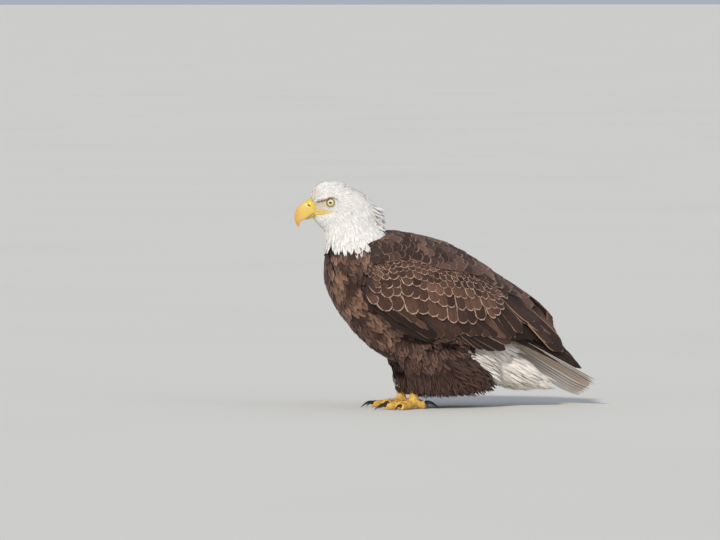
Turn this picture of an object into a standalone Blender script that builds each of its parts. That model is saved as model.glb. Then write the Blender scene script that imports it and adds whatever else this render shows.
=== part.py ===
"""A bald eagle standing at rest, life size, with its head turned to its right.

The bird faces -X, its left side is -Y, and it stands on the plane Z = 0. Lengths are in
millimetres until a mesh is made. Each flesh form is a loft of sections from a few outline
points, each feathered sheet is a slab on a grid, and neighbours keep a small gap.
"""

import math

import bmesh
import bpy
import numpy as np
from mathutils import Vector
from mathutils.bvhtree import BVHTree

MM = 0.001  # one millimetre in metres
GAP = 0.4  # clearance between neighbouring solids
OBJECT_NAME = "bald_eagle"
LEFT, RIGHT = -1, 1  # the sign of y on each side

HEAD_AXIS_X = -142.0  # the head turns about an upright line here
HEAD_TURN = math.radians(22.0)  # to the bird's right
HEAD_CUT = (-130.0, 392.0, 8.0)  # where head and neck part: x, z and rise to the rear in degrees
NECK_CUT = (-110.0, 349.0, 18.0)  # where neck and trunk part

# A body section: front x, z, back x, z, half width, narrowing at the front, share of the turn
BODY_SECTIONS = (
    (-194.0, 478.0, -148.0, 478.0, 20.0, 0.10, 1.0),
    (-209.0, 467.0, -123.0, 465.0, 32.0, 0.18, 1.0),
    (-214.0, 452.0, -101.0, 453.0, 38.0, 0.26, 1.0),
    (-214.0, 436.0, -84.0, 440.0, 41.0, 0.34, 1.0),
    (-213.0, 418.0, -73.0, 422.0, 42.0, 0.38, 1.0),
    (-211.0, 401.0, -67.0, 406.0, 43.0, 0.36, 1.0),
    (-199.0, 386.0, -63.0, 392.0, 47.0, 0.30, 1.0),
    (-187.0, 371.0, -57.0, 381.0, 54.0, 0.20, 0.9),
    (-184.0, 352.0, -45.0, 373.0, 62.0, 0.10, 0.6),
    (-187.0, 329.0, -26.0, 369.0, 72.0, 0.05, 0.2),
    (-190.0, 297.0, 8.0, 358.0, 79.0, 0.0, 0.0),
    (-187.0, 260.0, 47.0, 346.0, 82.0, 0.0, 0.0),
    (-173.0, 227.0, 86.0, 329.0, 83.0, 0.0, 0.0),
    (-151.0, 193.0, 122.0, 306.0, 83.0, 0.0, 0.0),
    (-122.0, 158.0, 154.0, 280.0, 81.0, 0.0, 0.0),
    (-85.0, 124.0, 185.0, 252.0, 78.0, 0.0, 0.0),
    (-42.0, 97.0, 213.0, 226.0, 72.0, 0.0, 0.0),
    (15.0, 84.0, 236.0, 202.0, 65.0, 0.0, 0.0),
    (75.0, 84.0, 251.0, 182.0, 57.0, 0.0, 0.0),
    (125.0, 98.0, 256.0, 166.0, 46.0, 0.0, 0.0),
    (165.0, 119.0, 254.0, 154.0, 33.0, 0.0, 0.0),
)
BODY_POLES = ((-170.0, 484.0, 1.0), (211.0, 133.0, 0.0))  # x, z and share of the turn
BODY_SIDES = 10

# The fluffy coverts below the tail: bottom x, z, top x, z, half width
UNDERTAIL_SECTIONS = (
    (134.0, 104.0, 154.0, 146.0, 32.0),
    (154.0, 72.0, 184.0, 150.0, 45.0),
    (190.0, 50.0, 226.0, 132.0, 50.0),
    (238.0, 43.0, 266.0, 106.0, 46.0),
    (284.0, 41.0, 299.0, 78.0, 32.0),
)
UNDERTAIL_POLES = ((126.0, 128.0), (313.0, 50.0))

TAIL = {
    "root": (186.0, 0.0, 172.0),
    "length": 266.0,
    "pitch": math.radians(31.0),
    "roll": math.radians(13.0),  # its left edge up
    "root_width": 52.0,
    "tip_width": 124.0,
    "droop": 8.0,  # of the edges below the middle pair
    "feathers": 12,
    "shortest": 0.91,  # the outer pair's length as a share of the middle pair's
}

# A wing section: top x, z, bottom x, z, then y outward at top, upper third, lower third, bottom
WING_SECTIONS = (
    (-137.0, 268.0, -143.0, 252.0, 70.0, 71.0, 72.0, 71.0),
    (-128.0, 292.0, -141.0, 232.0, 68.0, 77.0, 81.0, 77.0),
    (-109.0, 319.0, -128.0, 213.0, 58.0, 83.0, 90.0, 82.0),
    (-80.0, 333.0, -107.0, 195.0, 58.0, 86.0, 97.0, 85.0),
    (-41.0, 348.0, -82.0, 174.0, 45.0, 88.0, 101.0, 87.0),
    (4.0, 355.0, -38.0, 149.0, 31.0, 86.0, 102.0, 88.0),
    (50.0, 351.0, 10.0, 132.0, 20.0, 83.0, 101.0, 87.0),
    (92.0, 336.0, 52.0, 139.0, 16.0, 79.0, 98.0, 84.0),
    (134.0, 315.0, 104.0, 129.0, 12.0, 73.0, 92.0, 80.0),
    (176.0, 290.0, 156.0, 122.0, 9.0, 65.0, 85.0, 75.0),
    (218.0, 262.0, 204.0, 127.0, 7.0, 56.0, 75.0, 68.0),
    (254.0, 236.0, 245.0, 134.0, 6.0, 46.0, 64.0, 59.0),
    (290.0, 209.0, 283.0, 128.0, 5.0, 36.0, 52.0, 50.0),
    (322.0, 179.0, 317.0, 116.0, 6.0, 27.0, 40.0, 40.0),
    (341.0, 150.0, 340.0, 118.0, 14.0, 22.0, 29.0, 30.0),
)
WING_ROWS, WING_COLUMNS = 22, 9
WING_THICK = (17.0, 4.5)  # at the wrist and at the rear
WING_LAP = 24.0  # how far the right wing's rear laps over the middle
WING_LAP_RISE = 7.0
SHEET_PASSES = 3  # rounds of smoothing a sheet and moving it off the form under it
SHEET_CLEAR = 3.9  # room under a sheet's corners, so that its flat facets clear a round form

# Long flight feathers that pass under the wing's rear: root x, z, tip x, z, y at the tip
PRIMARIES = (
    (196.0, 186.0, 357.0, 112.0, 16.0),
    (194.0, 172.0, 372.0, 98.0, 18.0),
    (192.0, 158.0, 382.0, 86.0, 20.0),
    (190.0, 146.0, 391.0, 74.0, 23.0),
)
PRIMARY_ROOT_Y = 58.0
PRIMARY_LOWER_EDGE = (186.0, 133.0, 377.0, 70.0)  # root x, z and tip x, z of the last edge

# Upper bill: top x, z, bottom x, z, half width, in the head's own middle plane
UPPER_BILL = (
    (-204.0, 437.0, -200.0, 411.0, 14.0),
    (-214.5, 441.0, -208.5, 408.0, 15.5),
    (-227.0, 435.5, -215.0, 403.5, 14.0),
    (-237.0, 428.0, -221.5, 400.0, 12.0),
    (-244.5, 418.0, -227.5, 397.5, 10.0),
    (-248.5, 407.5, -232.5, 395.5, 8.0),
    (-248.0, 398.0, -236.5, 391.5, 5.6),
    (-245.0, 390.0, -238.0, 386.5, 3.2),
)
UPPER_BILL_POLES = ((-198.0, 424.0), (-239.6, 381.0))
LOWER_BILL = (
    (-199.0, 412.0, -197.0, 404.5, 12.5),
    (-208.0, 409.5, -206.0, 401.5, 13.0),
    (-217.0, 405.0, -215.0, 399.0, 11.5),
    (-224.0, 401.5, -223.5, 397.0, 8.5),
)
LOWER_BILL_POLES = ((-193.0, 409.0), (-230.0, 398.0))
EYE_CENTRE = (-170.5, 28.0, 433.0)  # x, distance from the middle plane, z, before the turn
EYE_RADIUS = 10.5
SOCKET = (-173.0, 40.0, 431.5)  # the middle of the hollow that each eye sits in
SOCKET_HALF = (19.0, 9.0, 11.0)

# Feathered thigh: height, front x, back x, half width, y, around the shank
THIGH_SECTIONS = (
    (172.0, -58.0, 112.0, 32.0, 42.0),
    (138.0, -60.0, 140.0, 38.0, 43.0),
    (106.0, -50.0, 152.0, 39.0, 45.0),
    (80.0, -34.0, 162.0, 37.0, 46.0),
    (58.0, -25.0, 168.0, 32.0, 47.0),
    (42.0, -21.0, 152.0, 26.0, 49.0),
    (32.0, -12.0, 106.0, 17.0, 50.0),
)
THIGH_POLES = ((20.0, 182.0), (46.0, 27.0))  # x, z
SHANK_X = {LEFT: -5.4, RIGHT: 6.7}
SHANK_Y = 50.0
SHANK_TOP = 62.0
SHANK_HALF = (11.5, 9.0)  # along x and y

# Toes: length, turn outward from forwards in degrees, thickness at root and tip, claw length
TOES = {
    "middle": (64.0, 2.0, 10.0, 7.4, 28.0),
    "inner": (50.0, -34.0, 10.0, 7.8, 27.0),
    "outer": (52.0, 36.0, 9.4, 7.0, 25.0),
    "hind": (24.0, 184.0, 10.0, 8.6, 37.0),
}
BALL_RADIUS = 7.0  # the other toes start this far out from the middle toe's root
TOE_KNUCKLES = {"middle": 3, "inner": 2, "outer": 4, "hind": 1}
CLAW_FLAT = 0.9  # half width of the small flat where a claw meets the floor

BROWN = (0.050, 0.032, 0.024)
WHITE = (0.80, 0.76, 0.72)
ORANGE = (0.75, 0.42, 0.05)
YELLOW = (0.80, 0.50, 0.06)
BLACK = (0.012, 0.011, 0.012)
IRIS = (0.62, 0.56, 0.33)


def clear_scene():
    for obj in list(bpy.data.objects):
        bpy.data.objects.remove(obj, do_unlink=True)


def collection(name, shown):
    made = bpy.data.collections.new(name)
    bpy.context.scene.collection.children.link(made)
    made.hide_render = not shown
    return made


def material(name, colour, roughness):
    made = bpy.data.materials.new(name)
    made.use_nodes = True
    shader = made.node_tree.nodes["Principled BSDF"]
    shader.inputs["Base Color"].default_value = (*colour, 1.0)
    shader.inputs["Roughness"].default_value = roughness
    shader.inputs["Metallic"].default_value = 0.0
    return made


def add_object(name, mesh, colour, roughness=0.8):
    mesh.name = name
    mesh.materials.clear()
    mesh.materials.append(material(name, colour, roughness))
    mesh.shade_smooth()
    mesh.set_sharp_from_angle(angle=math.radians(50))
    obj = bpy.data.objects.new(name, mesh)
    bpy.data.collections[OBJECT_NAME].objects.link(obj)
    return obj


def turned(point, share=1.0):
    """The point swung about the head's upright axis by its share of the head's turn."""
    angle = -HEAD_TURN * share
    x, y = point[0] - HEAD_AXIS_X, point[1]
    along = HEAD_AXIS_X + x * math.cos(angle) - y * math.sin(angle)
    return (along, x * math.sin(angle) + y * math.cos(angle), point[2])


def ring(front, back, half_width, sides, narrowing=0.0):
    """A closed section in the upright plane's line from front to back, in x, y and z.

    The surface that Subdivision Surface makes lies inside its cage, so the cage is larger."""
    fuller = 3.0 / (2.0 + math.cos(2 * math.pi / sides))
    middle = (np.array(front) + np.array(back)) / 2
    reach = (np.array(back) - np.array(front)) / 2 * fuller
    points = []
    for k in range(sides):
        angle = 2 * math.pi * k / sides
        along = math.cos(angle)
        across = math.sin(angle) * (1 + narrowing * along) * half_width * fuller
        x, z = middle + reach * along
        points.append((x, across, z))
    return points


def lofted_mesh(name, rings, poles):
    """A closed mesh through the rings, with a point past each end."""
    bm = bmesh.new()
    rows = [[bm.verts.new(Vector(p) * MM) for p in points] for points in rings]
    sides = len(rows[0])
    for first, second in zip(rows, rows[1:]):
        for k in range(sides):
            near = (k + 1) % sides
            bm.faces.new((first[k], first[near], second[near], second[k]))
    for row, pole in ((rows[0], poles[0]), (rows[-1], poles[1])):
        tip = bm.verts.new(Vector(pole) * MM)
        for k in range(sides):
            bm.faces.new((row[k], row[(k + 1) % sides], tip))
    bmesh.ops.recalc_face_normals(bm, faces=bm.faces)
    mesh = bpy.data.meshes.new(name)
    bm.to_mesh(mesh)
    bm.free()
    return mesh


def settled(obj):
    """Puts the mesh that the object's modifiers make in place of its own."""
    graph = bpy.context.evaluated_depsgraph_get()
    mesh = bpy.data.meshes.new_from_object(obj.evaluated_get(graph))
    obj.modifiers.clear()
    obj.data = mesh
    return obj


def soft_form(name, rings, poles, colour, roughness=0.8):
    obj = add_object(name, lofted_mesh(name, rings, poles), colour, roughness)
    smooth = obj.modifiers.new("Subdivision", "SUBSURF")
    smooth.levels = smooth.render_levels = 1
    return settled(obj)


def grown_copy(obj, by=GAP):
    """A helper a little larger than the object, to cut its neighbour with."""
    bm = bmesh.new()
    bm.from_mesh(obj.data)
    bm.normal_update()
    moves = [v.normal * min(v.calc_shell_factor(), 2.0) * by * MM for v in bm.verts]
    for vert, move in zip(bm.verts, moves):
        vert.co += move
    mesh = bpy.data.meshes.new(obj.name + "_room")
    bm.to_mesh(mesh)
    bm.free()
    helper = bpy.data.objects.new(obj.name + "_room", mesh)
    helper.hide_render = True
    helper.display_type = "WIRE"
    bpy.data.collections["cutters"].objects.link(helper)
    return helper


def cut_back(obj, *neighbours):
    """Takes the room of each neighbour out of the object and keeps its largest piece."""
    for neighbour in neighbours:
        boolean = obj.modifiers.new("Room", "BOOLEAN")
        boolean.operation = "DIFFERENCE"
        boolean.solver = "EXACT"
        boolean.use_self = True
        boolean.object = grown_copy(neighbour)
        settled(obj)
    keep_largest(obj)
    return obj


def keep_largest(obj):
    bm = bmesh.new()
    bm.from_mesh(obj.data)
    left, groups = set(bm.faces), []
    while left:
        group, stack = set(), [left.pop()]
        while stack:
            face = stack.pop()
            group.add(face)
            near = {f for e in face.edges if len(e.link_faces) == 2 for f in e.link_faces} & left
            left -= near
            stack += near
        groups.append(group)
    largest = max(groups, key=lambda faces: sum(f.calc_area() for f in faces))
    loose = [f for group in groups if group is not largest for f in group]
    bmesh.ops.delete(bm, geom=loose, context="FACES")
    bm.to_mesh(obj.data)
    bm.free()


def plane_of(cut):
    """A point on the plane of a thin cut and its upward normal."""
    x, z, rise = cut
    slope = math.radians(rise)
    return Vector((x, 0.0, z)), Vector((-math.sin(slope), 0.0, math.cos(slope)))


def sliced(bm, point, normal):
    """Keeps the part of a closed mesh below the plane, and closes it there."""
    everything = bm.verts[:] + bm.edges[:] + bm.faces[:]
    cut = bmesh.ops.bisect_plane(
        bm, geom=everything, dist=1e-7, plane_co=point * MM, plane_no=normal, clear_outer=True
    )
    edges = [item for item in cut["geom_cut"] if isinstance(item, bmesh.types.BMEdge)]
    bmesh.ops.holes_fill(bm, edges=edges, sides=0)
    bmesh.ops.recalc_face_normals(bm, faces=bm.faces)


def kept_between(whole, name, colour, below=None, above=None):
    """A copy of the whole form, kept below one thin cut and above another."""
    bm = bmesh.new()
    bm.from_mesh(whole.data)
    if below:
        point, normal = plane_of(below)
        sliced(bm, point - normal * GAP / 2, normal)
    if above:
        point, normal = plane_of(above)
        sliced(bm, point + normal * GAP / 2, -normal)
    mesh = bpy.data.meshes.new(name)
    bm.to_mesh(mesh)
    bm.free()
    return add_object(name, mesh, colour)


def make_body():
    """Head, neck and trunk: one form along the spine, parted by two thin cuts."""
    rings = []
    for front_x, front_z, back_x, back_z, half, narrowing, share in BODY_SECTIONS:
        flat = ring((front_x, front_z), (back_x, back_z), half, BODY_SIDES, narrowing)
        rings.append([turned(p, share) for p in flat])
    poles = [turned((x, 0.0, z), share) for x, z, share in BODY_POLES]
    whole = soft_form("whole", rings, poles, BROWN)
    head = kept_between(whole, "head", WHITE, above=HEAD_CUT)
    neck = kept_between(whole, "neck", WHITE, below=HEAD_CUT, above=NECK_CUT)
    trunk = kept_between(whole, "trunk", BROWN, below=NECK_CUT)
    return whole, head, neck, trunk


def make_bill():
    def form(name, sections, ends, colour):
        rings = [ring(s[0:2], s[2:4], s[4], 8) for s in sections]
        rings = [[turned(p) for p in points] for points in rings]
        poles = [turned((x, 0.0, z)) for x, z in ends]
        return soft_form(name, rings, poles, colour, 0.35)

    upper = form("bill_upper", UPPER_BILL, UPPER_BILL_POLES, ORANGE)
    lower = form("bill_lower", LOWER_BILL, LOWER_BILL_POLES, YELLOW)
    return upper, cut_back(lower, upper)


def ball(name, centre, halves, side, segments):
    """A ball or egg in the head's own frame, turned with the head."""
    bm = bmesh.new()
    bmesh.ops.create_uvsphere(bm, u_segments=segments, v_segments=segments // 2 + 1, radius=1)
    for vert in bm.verts:
        x, y, z = (c + h * v for c, h, v in zip(centre, halves, vert.co))
        vert.co = Vector(turned((x, side * y, z))) * MM
    bm.normal_update()
    bmesh.ops.recalc_face_normals(bm, faces=bm.faces)
    mesh = bpy.data.meshes.new(name)
    bm.to_mesh(mesh)
    bm.free()
    return mesh


def make_eye(name, side):
    return add_object(name, ball(name, EYE_CENTRE, [EYE_RADIUS] * 3, side, 12), IRIS, 0.08)


def hollow_sockets(head):
    for side in (LEFT, RIGHT):
        socket = bpy.data.objects.new("socket", ball("socket", SOCKET, SOCKET_HALF, side, 12))
        cut_back(head, socket)
        bpy.data.objects.remove(socket, do_unlink=True)


def make_undertail():
    rings = [ring(s[0:2], s[2:4], s[4], 8) for s in UNDERTAIL_SECTIONS]
    poles = [(x, 0.0, z) for x, z in UNDERTAIL_POLES]
    return soft_form("undertail", rings, poles, WHITE)


def slab(name, grid, thickness, colour):
    """A closed sheet: a grid of middle points, thickened half to each side."""
    along = np.gradient(grid, axis=0)
    across = np.gradient(grid, axis=1)
    normal = np.cross(along, across)
    normal /= np.linalg.norm(normal, axis=2, keepdims=True)
    offset = normal * thickness[:, :, None] / 2
    bm = bmesh.new()
    layers = []
    for layer in (grid + offset, grid - offset):
        layers.append([[bm.verts.new(Vector(p) * MM) for p in row] for row in layer])
    rows, columns = grid.shape[:2]
    for layer in layers:
        for i in range(rows - 1):
            for j in range(columns - 1):
                corners = (layer[i][j], layer[i + 1][j], layer[i + 1][j + 1], layer[i][j + 1])
                bm.faces.new(corners)
    border = [(i, 0) for i in range(rows)] + [(rows - 1, j) for j in range(1, columns)]
    border += [(i, columns - 1) for i in range(rows - 2, -1, -1)]
    border += [(0, j) for j in range(columns - 2, 0, -1)]
    top, bottom = layers
    for (a, b), (c, d) in zip(border, border[1:] + border[:1]):
        bm.faces.new((top[a][b], top[c][d], bottom[c][d], bottom[a][b]))
    bmesh.ops.recalc_face_normals(bm, faces=bm.faces)
    mesh = bpy.data.meshes.new(name)
    bm.to_mesh(mesh)
    bm.free()
    return add_object(name, mesh, colour)


def through(values, count):
    """A smooth curve through the values, read at evenly spaced places."""
    values = np.array(values, float)
    padded = np.vstack([2 * values[0] - values[1], values, 2 * values[-1] - values[-2]])
    read = []
    for place in np.linspace(0, len(values) - 1, count):
        k = min(int(place), len(values) - 2)
        t = place - k
        a, b, c, d = padded[k : k + 4]
        bend = (2 * a - 5 * b + 4 * c - d) * t**2 + (3 * b - a - 3 * c + d) * t**3
        read.append(b + 0.5 * ((c - a) * t + bend))
    return np.array(read)


def ramp(value, low, high):
    t = min(max((value - low) / (high - low), 0.0), 1.0)
    return t * t * (3 - 2 * t)


def laid_over(grid, thickness, under):
    """The grid with each point moved out until its sheet lies clear of the form under it."""
    bm = bmesh.new()
    bm.from_mesh(under.data)
    tree = BVHTree.FromBMesh(bm)
    bm.free()
    laid = grid.copy()
    for _ in range(SHEET_PASSES):
        inside = laid[1:-1, 1:-1]
        around = laid[:-2, 1:-1] + laid[2:, 1:-1] + laid[1:-1, :-2] + laid[1:-1, 2:]
        laid[1:-1, 1:-1] = (inside + around / 4) / 2
        for place in np.ndindex(grid.shape[:2]):
            point = Vector(laid[place]) * MM
            near, normal, _, _ = tree.find_nearest(point)
            clear = (thickness[place] / 2 + SHEET_CLEAR) * MM
            if (point - near).dot(normal) < clear:
                laid[place] = (near + normal * clear) / MM
    return laid


def make_wing(name, side, body):
    """The covered wing from wrist to the last inner feathers, a curved sheet on the flank."""
    grid = []
    for section in through(WING_SECTIONS, WING_ROWS):
        top, bottom = section[0:2], section[2:4]
        outward = through(section[4:8, None], WING_COLUMNS)[:, 0]
        lap = ramp(top[0], 150.0, 300.0) if side == RIGHT else 0.0
        row = []
        for j, share in enumerate(np.linspace(0, 1, WING_COLUMNS)):
            x, z = top + (bottom - top) * share
            upper = lap * (1 - share) ** 1.5
            y = outward[j] - WING_LAP * upper
            row.append((x, side * y, z + WING_LAP_RISE * upper))
        grid.append(row)
    grid = np.array(grid)
    down = np.linspace(1, 0, WING_ROWS)[:, None]
    middle = np.sin(np.pi * np.linspace(0.08, 0.92, WING_COLUMNS))[None, :]
    thickness = (WING_THICK[1] + (WING_THICK[0] - WING_THICK[1]) * down) * (0.35 + 0.65 * middle)
    return slab(name, laid_over(grid, thickness, body), thickness, BROWN)


def feather_fan(name, edges, tips, rows, thickness, step, colour):
    """Overlapping long feathers as one sheet with a tip for each and a step at each edge.

    edges holds the root and the notch of each edge between feathers, tips the two points
    that round each feather's end."""
    columns, lift = [], []
    for k, (root, notch) in enumerate(edges):
        columns.append((root, notch))
        lift.append(0.0)
        if k + 1 < len(edges):
            after = edges[k + 1][0]
            for share, tip in zip((0.35, 0.75), tips[k]):
                columns.append((root + (after - root) * share, tip))
            lift += [step, -step * 0.4]
    shares = np.linspace(0, 1, rows) ** 0.8
    grid = np.array([[root + (tip - root) * s for root, tip in columns] for s in shares])
    along = np.gradient(grid, axis=0)
    normal = np.cross(along, np.gradient(grid, axis=1))
    normal /= np.linalg.norm(normal, axis=2, keepdims=True)
    grid = grid + normal * shares[:, None, None] * np.array(lift)[None, :, None]
    depth = np.linspace(thickness[0], thickness[1], rows)[:, None] * np.ones(len(columns))
    return slab(name, grid, depth, colour)


def make_tail():
    root, length, count = np.array(TAIL["root"]), TAIL["length"], TAIL["feathers"]
    along = np.array((math.cos(TAIL["pitch"]), 0.0, -math.sin(TAIL["pitch"])))
    across = np.array((0.0, math.cos(TAIL["roll"]), -math.sin(TAIL["roll"])))
    up = np.cross(along, across)
    up *= math.copysign(1.0, up[2])

    def place(share_across, share_along):
        """share_across runs from -1 at the left edge to 1, share_along from root to tip."""
        half = TAIL["root_width"] + (TAIL["tip_width"] - TAIL["root_width"]) * share_along
        reach = length * (1 - (1 - TAIL["shortest"]) * share_across**2)
        sag = TAIL["droop"] * abs(share_across) ** 1.5
        moved = along * reach * share_along + across * share_across * half / 2
        return root + moved - up * sag

    edges, tips = [], []
    for k in range(count + 1):
        share = -1 + 2 * k / count
        edges.append((place(share, 0.0), place(share, 0.965)))
        if k < count:
            inner = [share + 2 * part / count for part in (0.35, 0.75)]
            tips.append([place(s, 1.0) for s in inner])
    return feather_fan("tail", edges, tips, 5, (6.0, 2.4), 1.0, WHITE)


def make_primaries(name, side):
    count = len(PRIMARIES)
    edges, tips = [], []
    lowest = PRIMARY_LOWER_EDGE
    rows = [*PRIMARIES, (*lowest, PRIMARIES[-1][4] + 2)]
    for k in range(count + 1):
        root_x, root_z, tip_x, tip_z, tip_y = rows[k]
        root = np.array((root_x, side * PRIMARY_ROOT_Y, root_z))
        tip = np.array((tip_x, side * tip_y, tip_z))
        notch = root + (tip - root) * (0.93 if k < count else 0.97)
        edges.append((root, notch))
        if k < count:
            after = rows[k + 1]
            below = np.array((after[2], side * after[4], after[3]))
            tips.append([tip + (below - tip) * part for part in (0.15, 0.55)])
    return feather_fan(name, edges, tips, 5, (4.5, 2.2), 0.8, BLACK)


def make_thigh(name, side):
    rings = []
    for z, front, back, half, y in THIGH_SECTIONS:
        flat = ring((front, z), (back, z), half, 8)
        shift = SHANK_X[side] - SHANK_X[LEFT]
        rings.append([(px + shift, py + side * y, pz) for px, py, pz in flat])
    poles = [(x + SHANK_X[side], side * SHANK_Y * 0.9, z) for x, z in THIGH_POLES]
    return soft_form(name, rings, poles, BROWN)


def oval(centre, across, up, half_across, half_up, sides=8):
    """A closed ring about the centre."""
    points = []
    for k in range(sides):
        angle = 2 * math.pi * (k + 0.5) / sides
        spread = across * half_across * math.cos(angle)
        points.append(centre + spread + up * half_up * math.sin(angle))
    return points


def make_shank(name, side):
    """The bare yellow shank, from its joint with the toes up into the thigh."""
    x, y = SHANK_X[side], side * SHANK_Y
    rings = []
    for z, swell in ((11.0, 1.08), (20.0, 0.98), (34.0, 0.96), (48.0, 1.0), (SHANK_TOP, 1.02)):
        centre = np.array((x + 0.02 * z, y, z))
        halves = SHANK_HALF[0] * swell, SHANK_HALF[1] * swell
        rings.append(oval(centre, *np.eye(3)[:2], *halves))
    poles = ((x, y, 8.0), (x + 1.0, y, SHANK_TOP + 4.0))
    return add_object(name, lofted_mesh(name, rings, poles), YELLOW, 0.5)


def toe_frame(side, kind):
    """The toe's root on the floor plane, its direction and the level line across it."""
    length, turn = TOES[kind][0:2]
    angle = math.radians(turn)
    forward = np.array((-math.cos(angle), side * math.sin(angle), 0.0))
    across = np.array((-forward[1], forward[0], 0.0))
    root = np.array((SHANK_X[side], side * SHANK_Y, 0.0))
    return root, forward, across, length


def toe_thickness(kind, share):
    """Half thickness along a toe: it tapers, with a swelling at each pad."""
    root, tip = TOES[kind][2:4]
    pads = TOE_KNUCKLES[kind] + 0.5
    return root + (tip - root) * share + 0.7 * math.cos(2 * math.pi * share * pads)


def cut_flat(obj):
    """Takes off what lies under the floor."""
    bm = bmesh.new()
    bm.from_mesh(obj.data)
    sliced(bm, Vector((0, 0, 0)), Vector((0, 0, -1)))
    bm.to_mesh(obj.data)
    bm.free()
    return obj


def make_toe(name, side, kind):
    """A toe from the ball of the foot to its claw, cut flat where it stands."""
    up = np.array((0.0, 0.0, 1.0))
    root, forward, across, length = toe_frame(side, kind)
    start = -4.0 if kind == "middle" else BALL_RADIUS
    rings = []
    for share in np.linspace(0, 1, 8 if length > 40 else 5):
        half = toe_thickness(kind, share)
        height = half * 0.82 + 4.0 * (1 - share) ** 3
        centre = root + forward * (start + (length - start) * share) + up * height
        rings.append(oval(centre, across, up, half, half))
    poles = (root + forward * (start - 4.0) + up * 10.0, root + forward * (length + 4.5) + up * 6.0)
    return cut_flat(add_object(name, lofted_mesh(name, rings, poles), YELLOW, 0.5))


def make_claw(name, side, kind):
    """A curved claw that leaves the toe's end and comes down to a small flat on the floor."""
    root, forward, across, length = toe_frame(side, kind)
    chord = TOES[kind][4]
    thick = 0.17 * chord if kind != "hind" else 0.15 * chord
    base_height = TOES[kind][3] * 1.15
    up = np.array((0.0, 0.0, 1.0))
    base = root + forward * (length - 1.0) + up * base_height
    rings = []
    shares = np.linspace(0, 1, 6)
    for share in shares:
        fall = base_height * (1 - share) ** 0.9 - base_height
        rise = 0.20 * chord * math.sin(math.pi * share ** 0.85) * (1 - 0.25 * share)
        centre = base + forward * chord * share + up * (fall + rise)
        half = max(thick * (1 - share) ** 0.65, CLAW_FLAT)
        slope = math.radians(35 - 105 * share)
        tilt = up * math.cos(slope) - forward * math.sin(slope)
        rings.append(oval(centre, across, tilt, half * 0.85, half, sides=6))
    poles = (base - forward * 4.0, base + forward * (chord + 0.5) - up * (base_height + 1.0))
    return cut_flat(add_object(name, lofted_mesh(name, rings, poles), BLACK, 0.3))


def nodes():
    return list(bpy.data.collections[OBJECT_NAME].objects)


def centre_on_floor():
    """Moves every mesh so that the origin is under the middle of the whole bird."""
    corners = np.array([v.co for obj in nodes() for v in obj.data.vertices])
    low, high = corners.min(axis=0), corners.max(axis=0)
    move = Vector((-(low[0] + high[0]) / 2, -(low[1] + high[1]) / 2, 0.0))
    for obj in bpy.data.objects:
        for vert in obj.data.vertices:
            vert.co += move


def build():
    clear_scene()
    collection(OBJECT_NAME, shown=True)
    collection("cutters", shown=False)
    whole, head, neck, trunk = make_body()
    upper, lower = make_bill()
    eyes = [make_eye("eye_left", LEFT), make_eye("eye_right", RIGHT)]
    hollow_sockets(head)
    cut_back(head, upper, lower, *eyes)
    tail = make_tail()
    cut_back(trunk, tail)
    undertail = make_undertail()
    cut_back(undertail, trunk, tail)
    wing_right = make_wing("wing_right", RIGHT, whole)
    wing_left = make_wing("wing_left", LEFT, whole)
    cut_back(wing_left, wing_right)
    bpy.data.objects.remove(whole, do_unlink=True)
    primaries_right = make_primaries("primaries_right", RIGHT)
    cut_back(primaries_right, wing_right, wing_left, trunk, tail)
    primaries_left = make_primaries("primaries_left", LEFT)
    cut_back(primaries_left, wing_left, wing_right, trunk, tail, primaries_right)
    for side, word in ((LEFT, "left"), (RIGHT, "right")):
        wing = wing_left if side == LEFT else wing_right
        thigh = make_thigh("thigh_" + word, side)
        shank = make_shank("shank_" + word, side)
        toes = []
        for kind in TOES:
            toe = make_toe(f"toe_{kind}_{word}", side, kind)
            claw = make_claw(f"claw_{kind}_{word}", side, kind)
            cut_back(toe, claw, *toes)
            toes.append(toe)
        cut_back(shank, *toes)
        cut_back(thigh, trunk, shank, undertail, wing)
    centre_on_floor()


build()
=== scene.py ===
import itertools
import math

import bpy
import numpy as np
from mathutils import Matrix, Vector, noise
from mathutils.bvhtree import BVHTree
from mathutils.kdtree import KDTree


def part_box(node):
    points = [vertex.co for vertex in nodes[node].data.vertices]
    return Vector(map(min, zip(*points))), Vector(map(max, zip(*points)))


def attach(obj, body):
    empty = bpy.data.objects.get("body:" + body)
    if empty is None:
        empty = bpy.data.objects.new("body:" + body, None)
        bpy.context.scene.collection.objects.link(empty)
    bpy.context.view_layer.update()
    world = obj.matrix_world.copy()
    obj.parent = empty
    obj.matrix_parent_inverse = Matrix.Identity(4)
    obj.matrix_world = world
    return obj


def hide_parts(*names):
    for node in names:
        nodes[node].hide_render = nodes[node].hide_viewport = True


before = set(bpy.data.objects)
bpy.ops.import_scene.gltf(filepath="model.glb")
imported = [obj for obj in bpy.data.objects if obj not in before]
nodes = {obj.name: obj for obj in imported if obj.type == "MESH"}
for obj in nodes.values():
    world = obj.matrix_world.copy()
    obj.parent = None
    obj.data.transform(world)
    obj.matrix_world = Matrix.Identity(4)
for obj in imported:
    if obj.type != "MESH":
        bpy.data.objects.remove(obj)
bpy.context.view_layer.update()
mm = 0.001  # the values below are in millimetres, from the stance line on the floor
sides = {"left": -1, "right": 1}
toeKinds = ("middle", "inner", "outer", "hind")
print("frame loaded:", len(nodes), "nodes")


# The bird faces -X with its left side to -Y. Its head is turned about an upright line.

def middleOf(node):
    low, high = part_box(node)
    return (low + high) / 2


stanceX = (middleOf("shank_left").x + middleOf("shank_right").x) / 2
headPose = {"axisX": -142.0, "turn": math.radians(22.0)}


def place(points):
    return np.asarray(points, float) * mm + (stanceX, 0.0, 0.0)


def unplace(points):
    return (np.asarray(points, float) - (stanceX, 0.0, 0.0)) / mm


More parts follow.
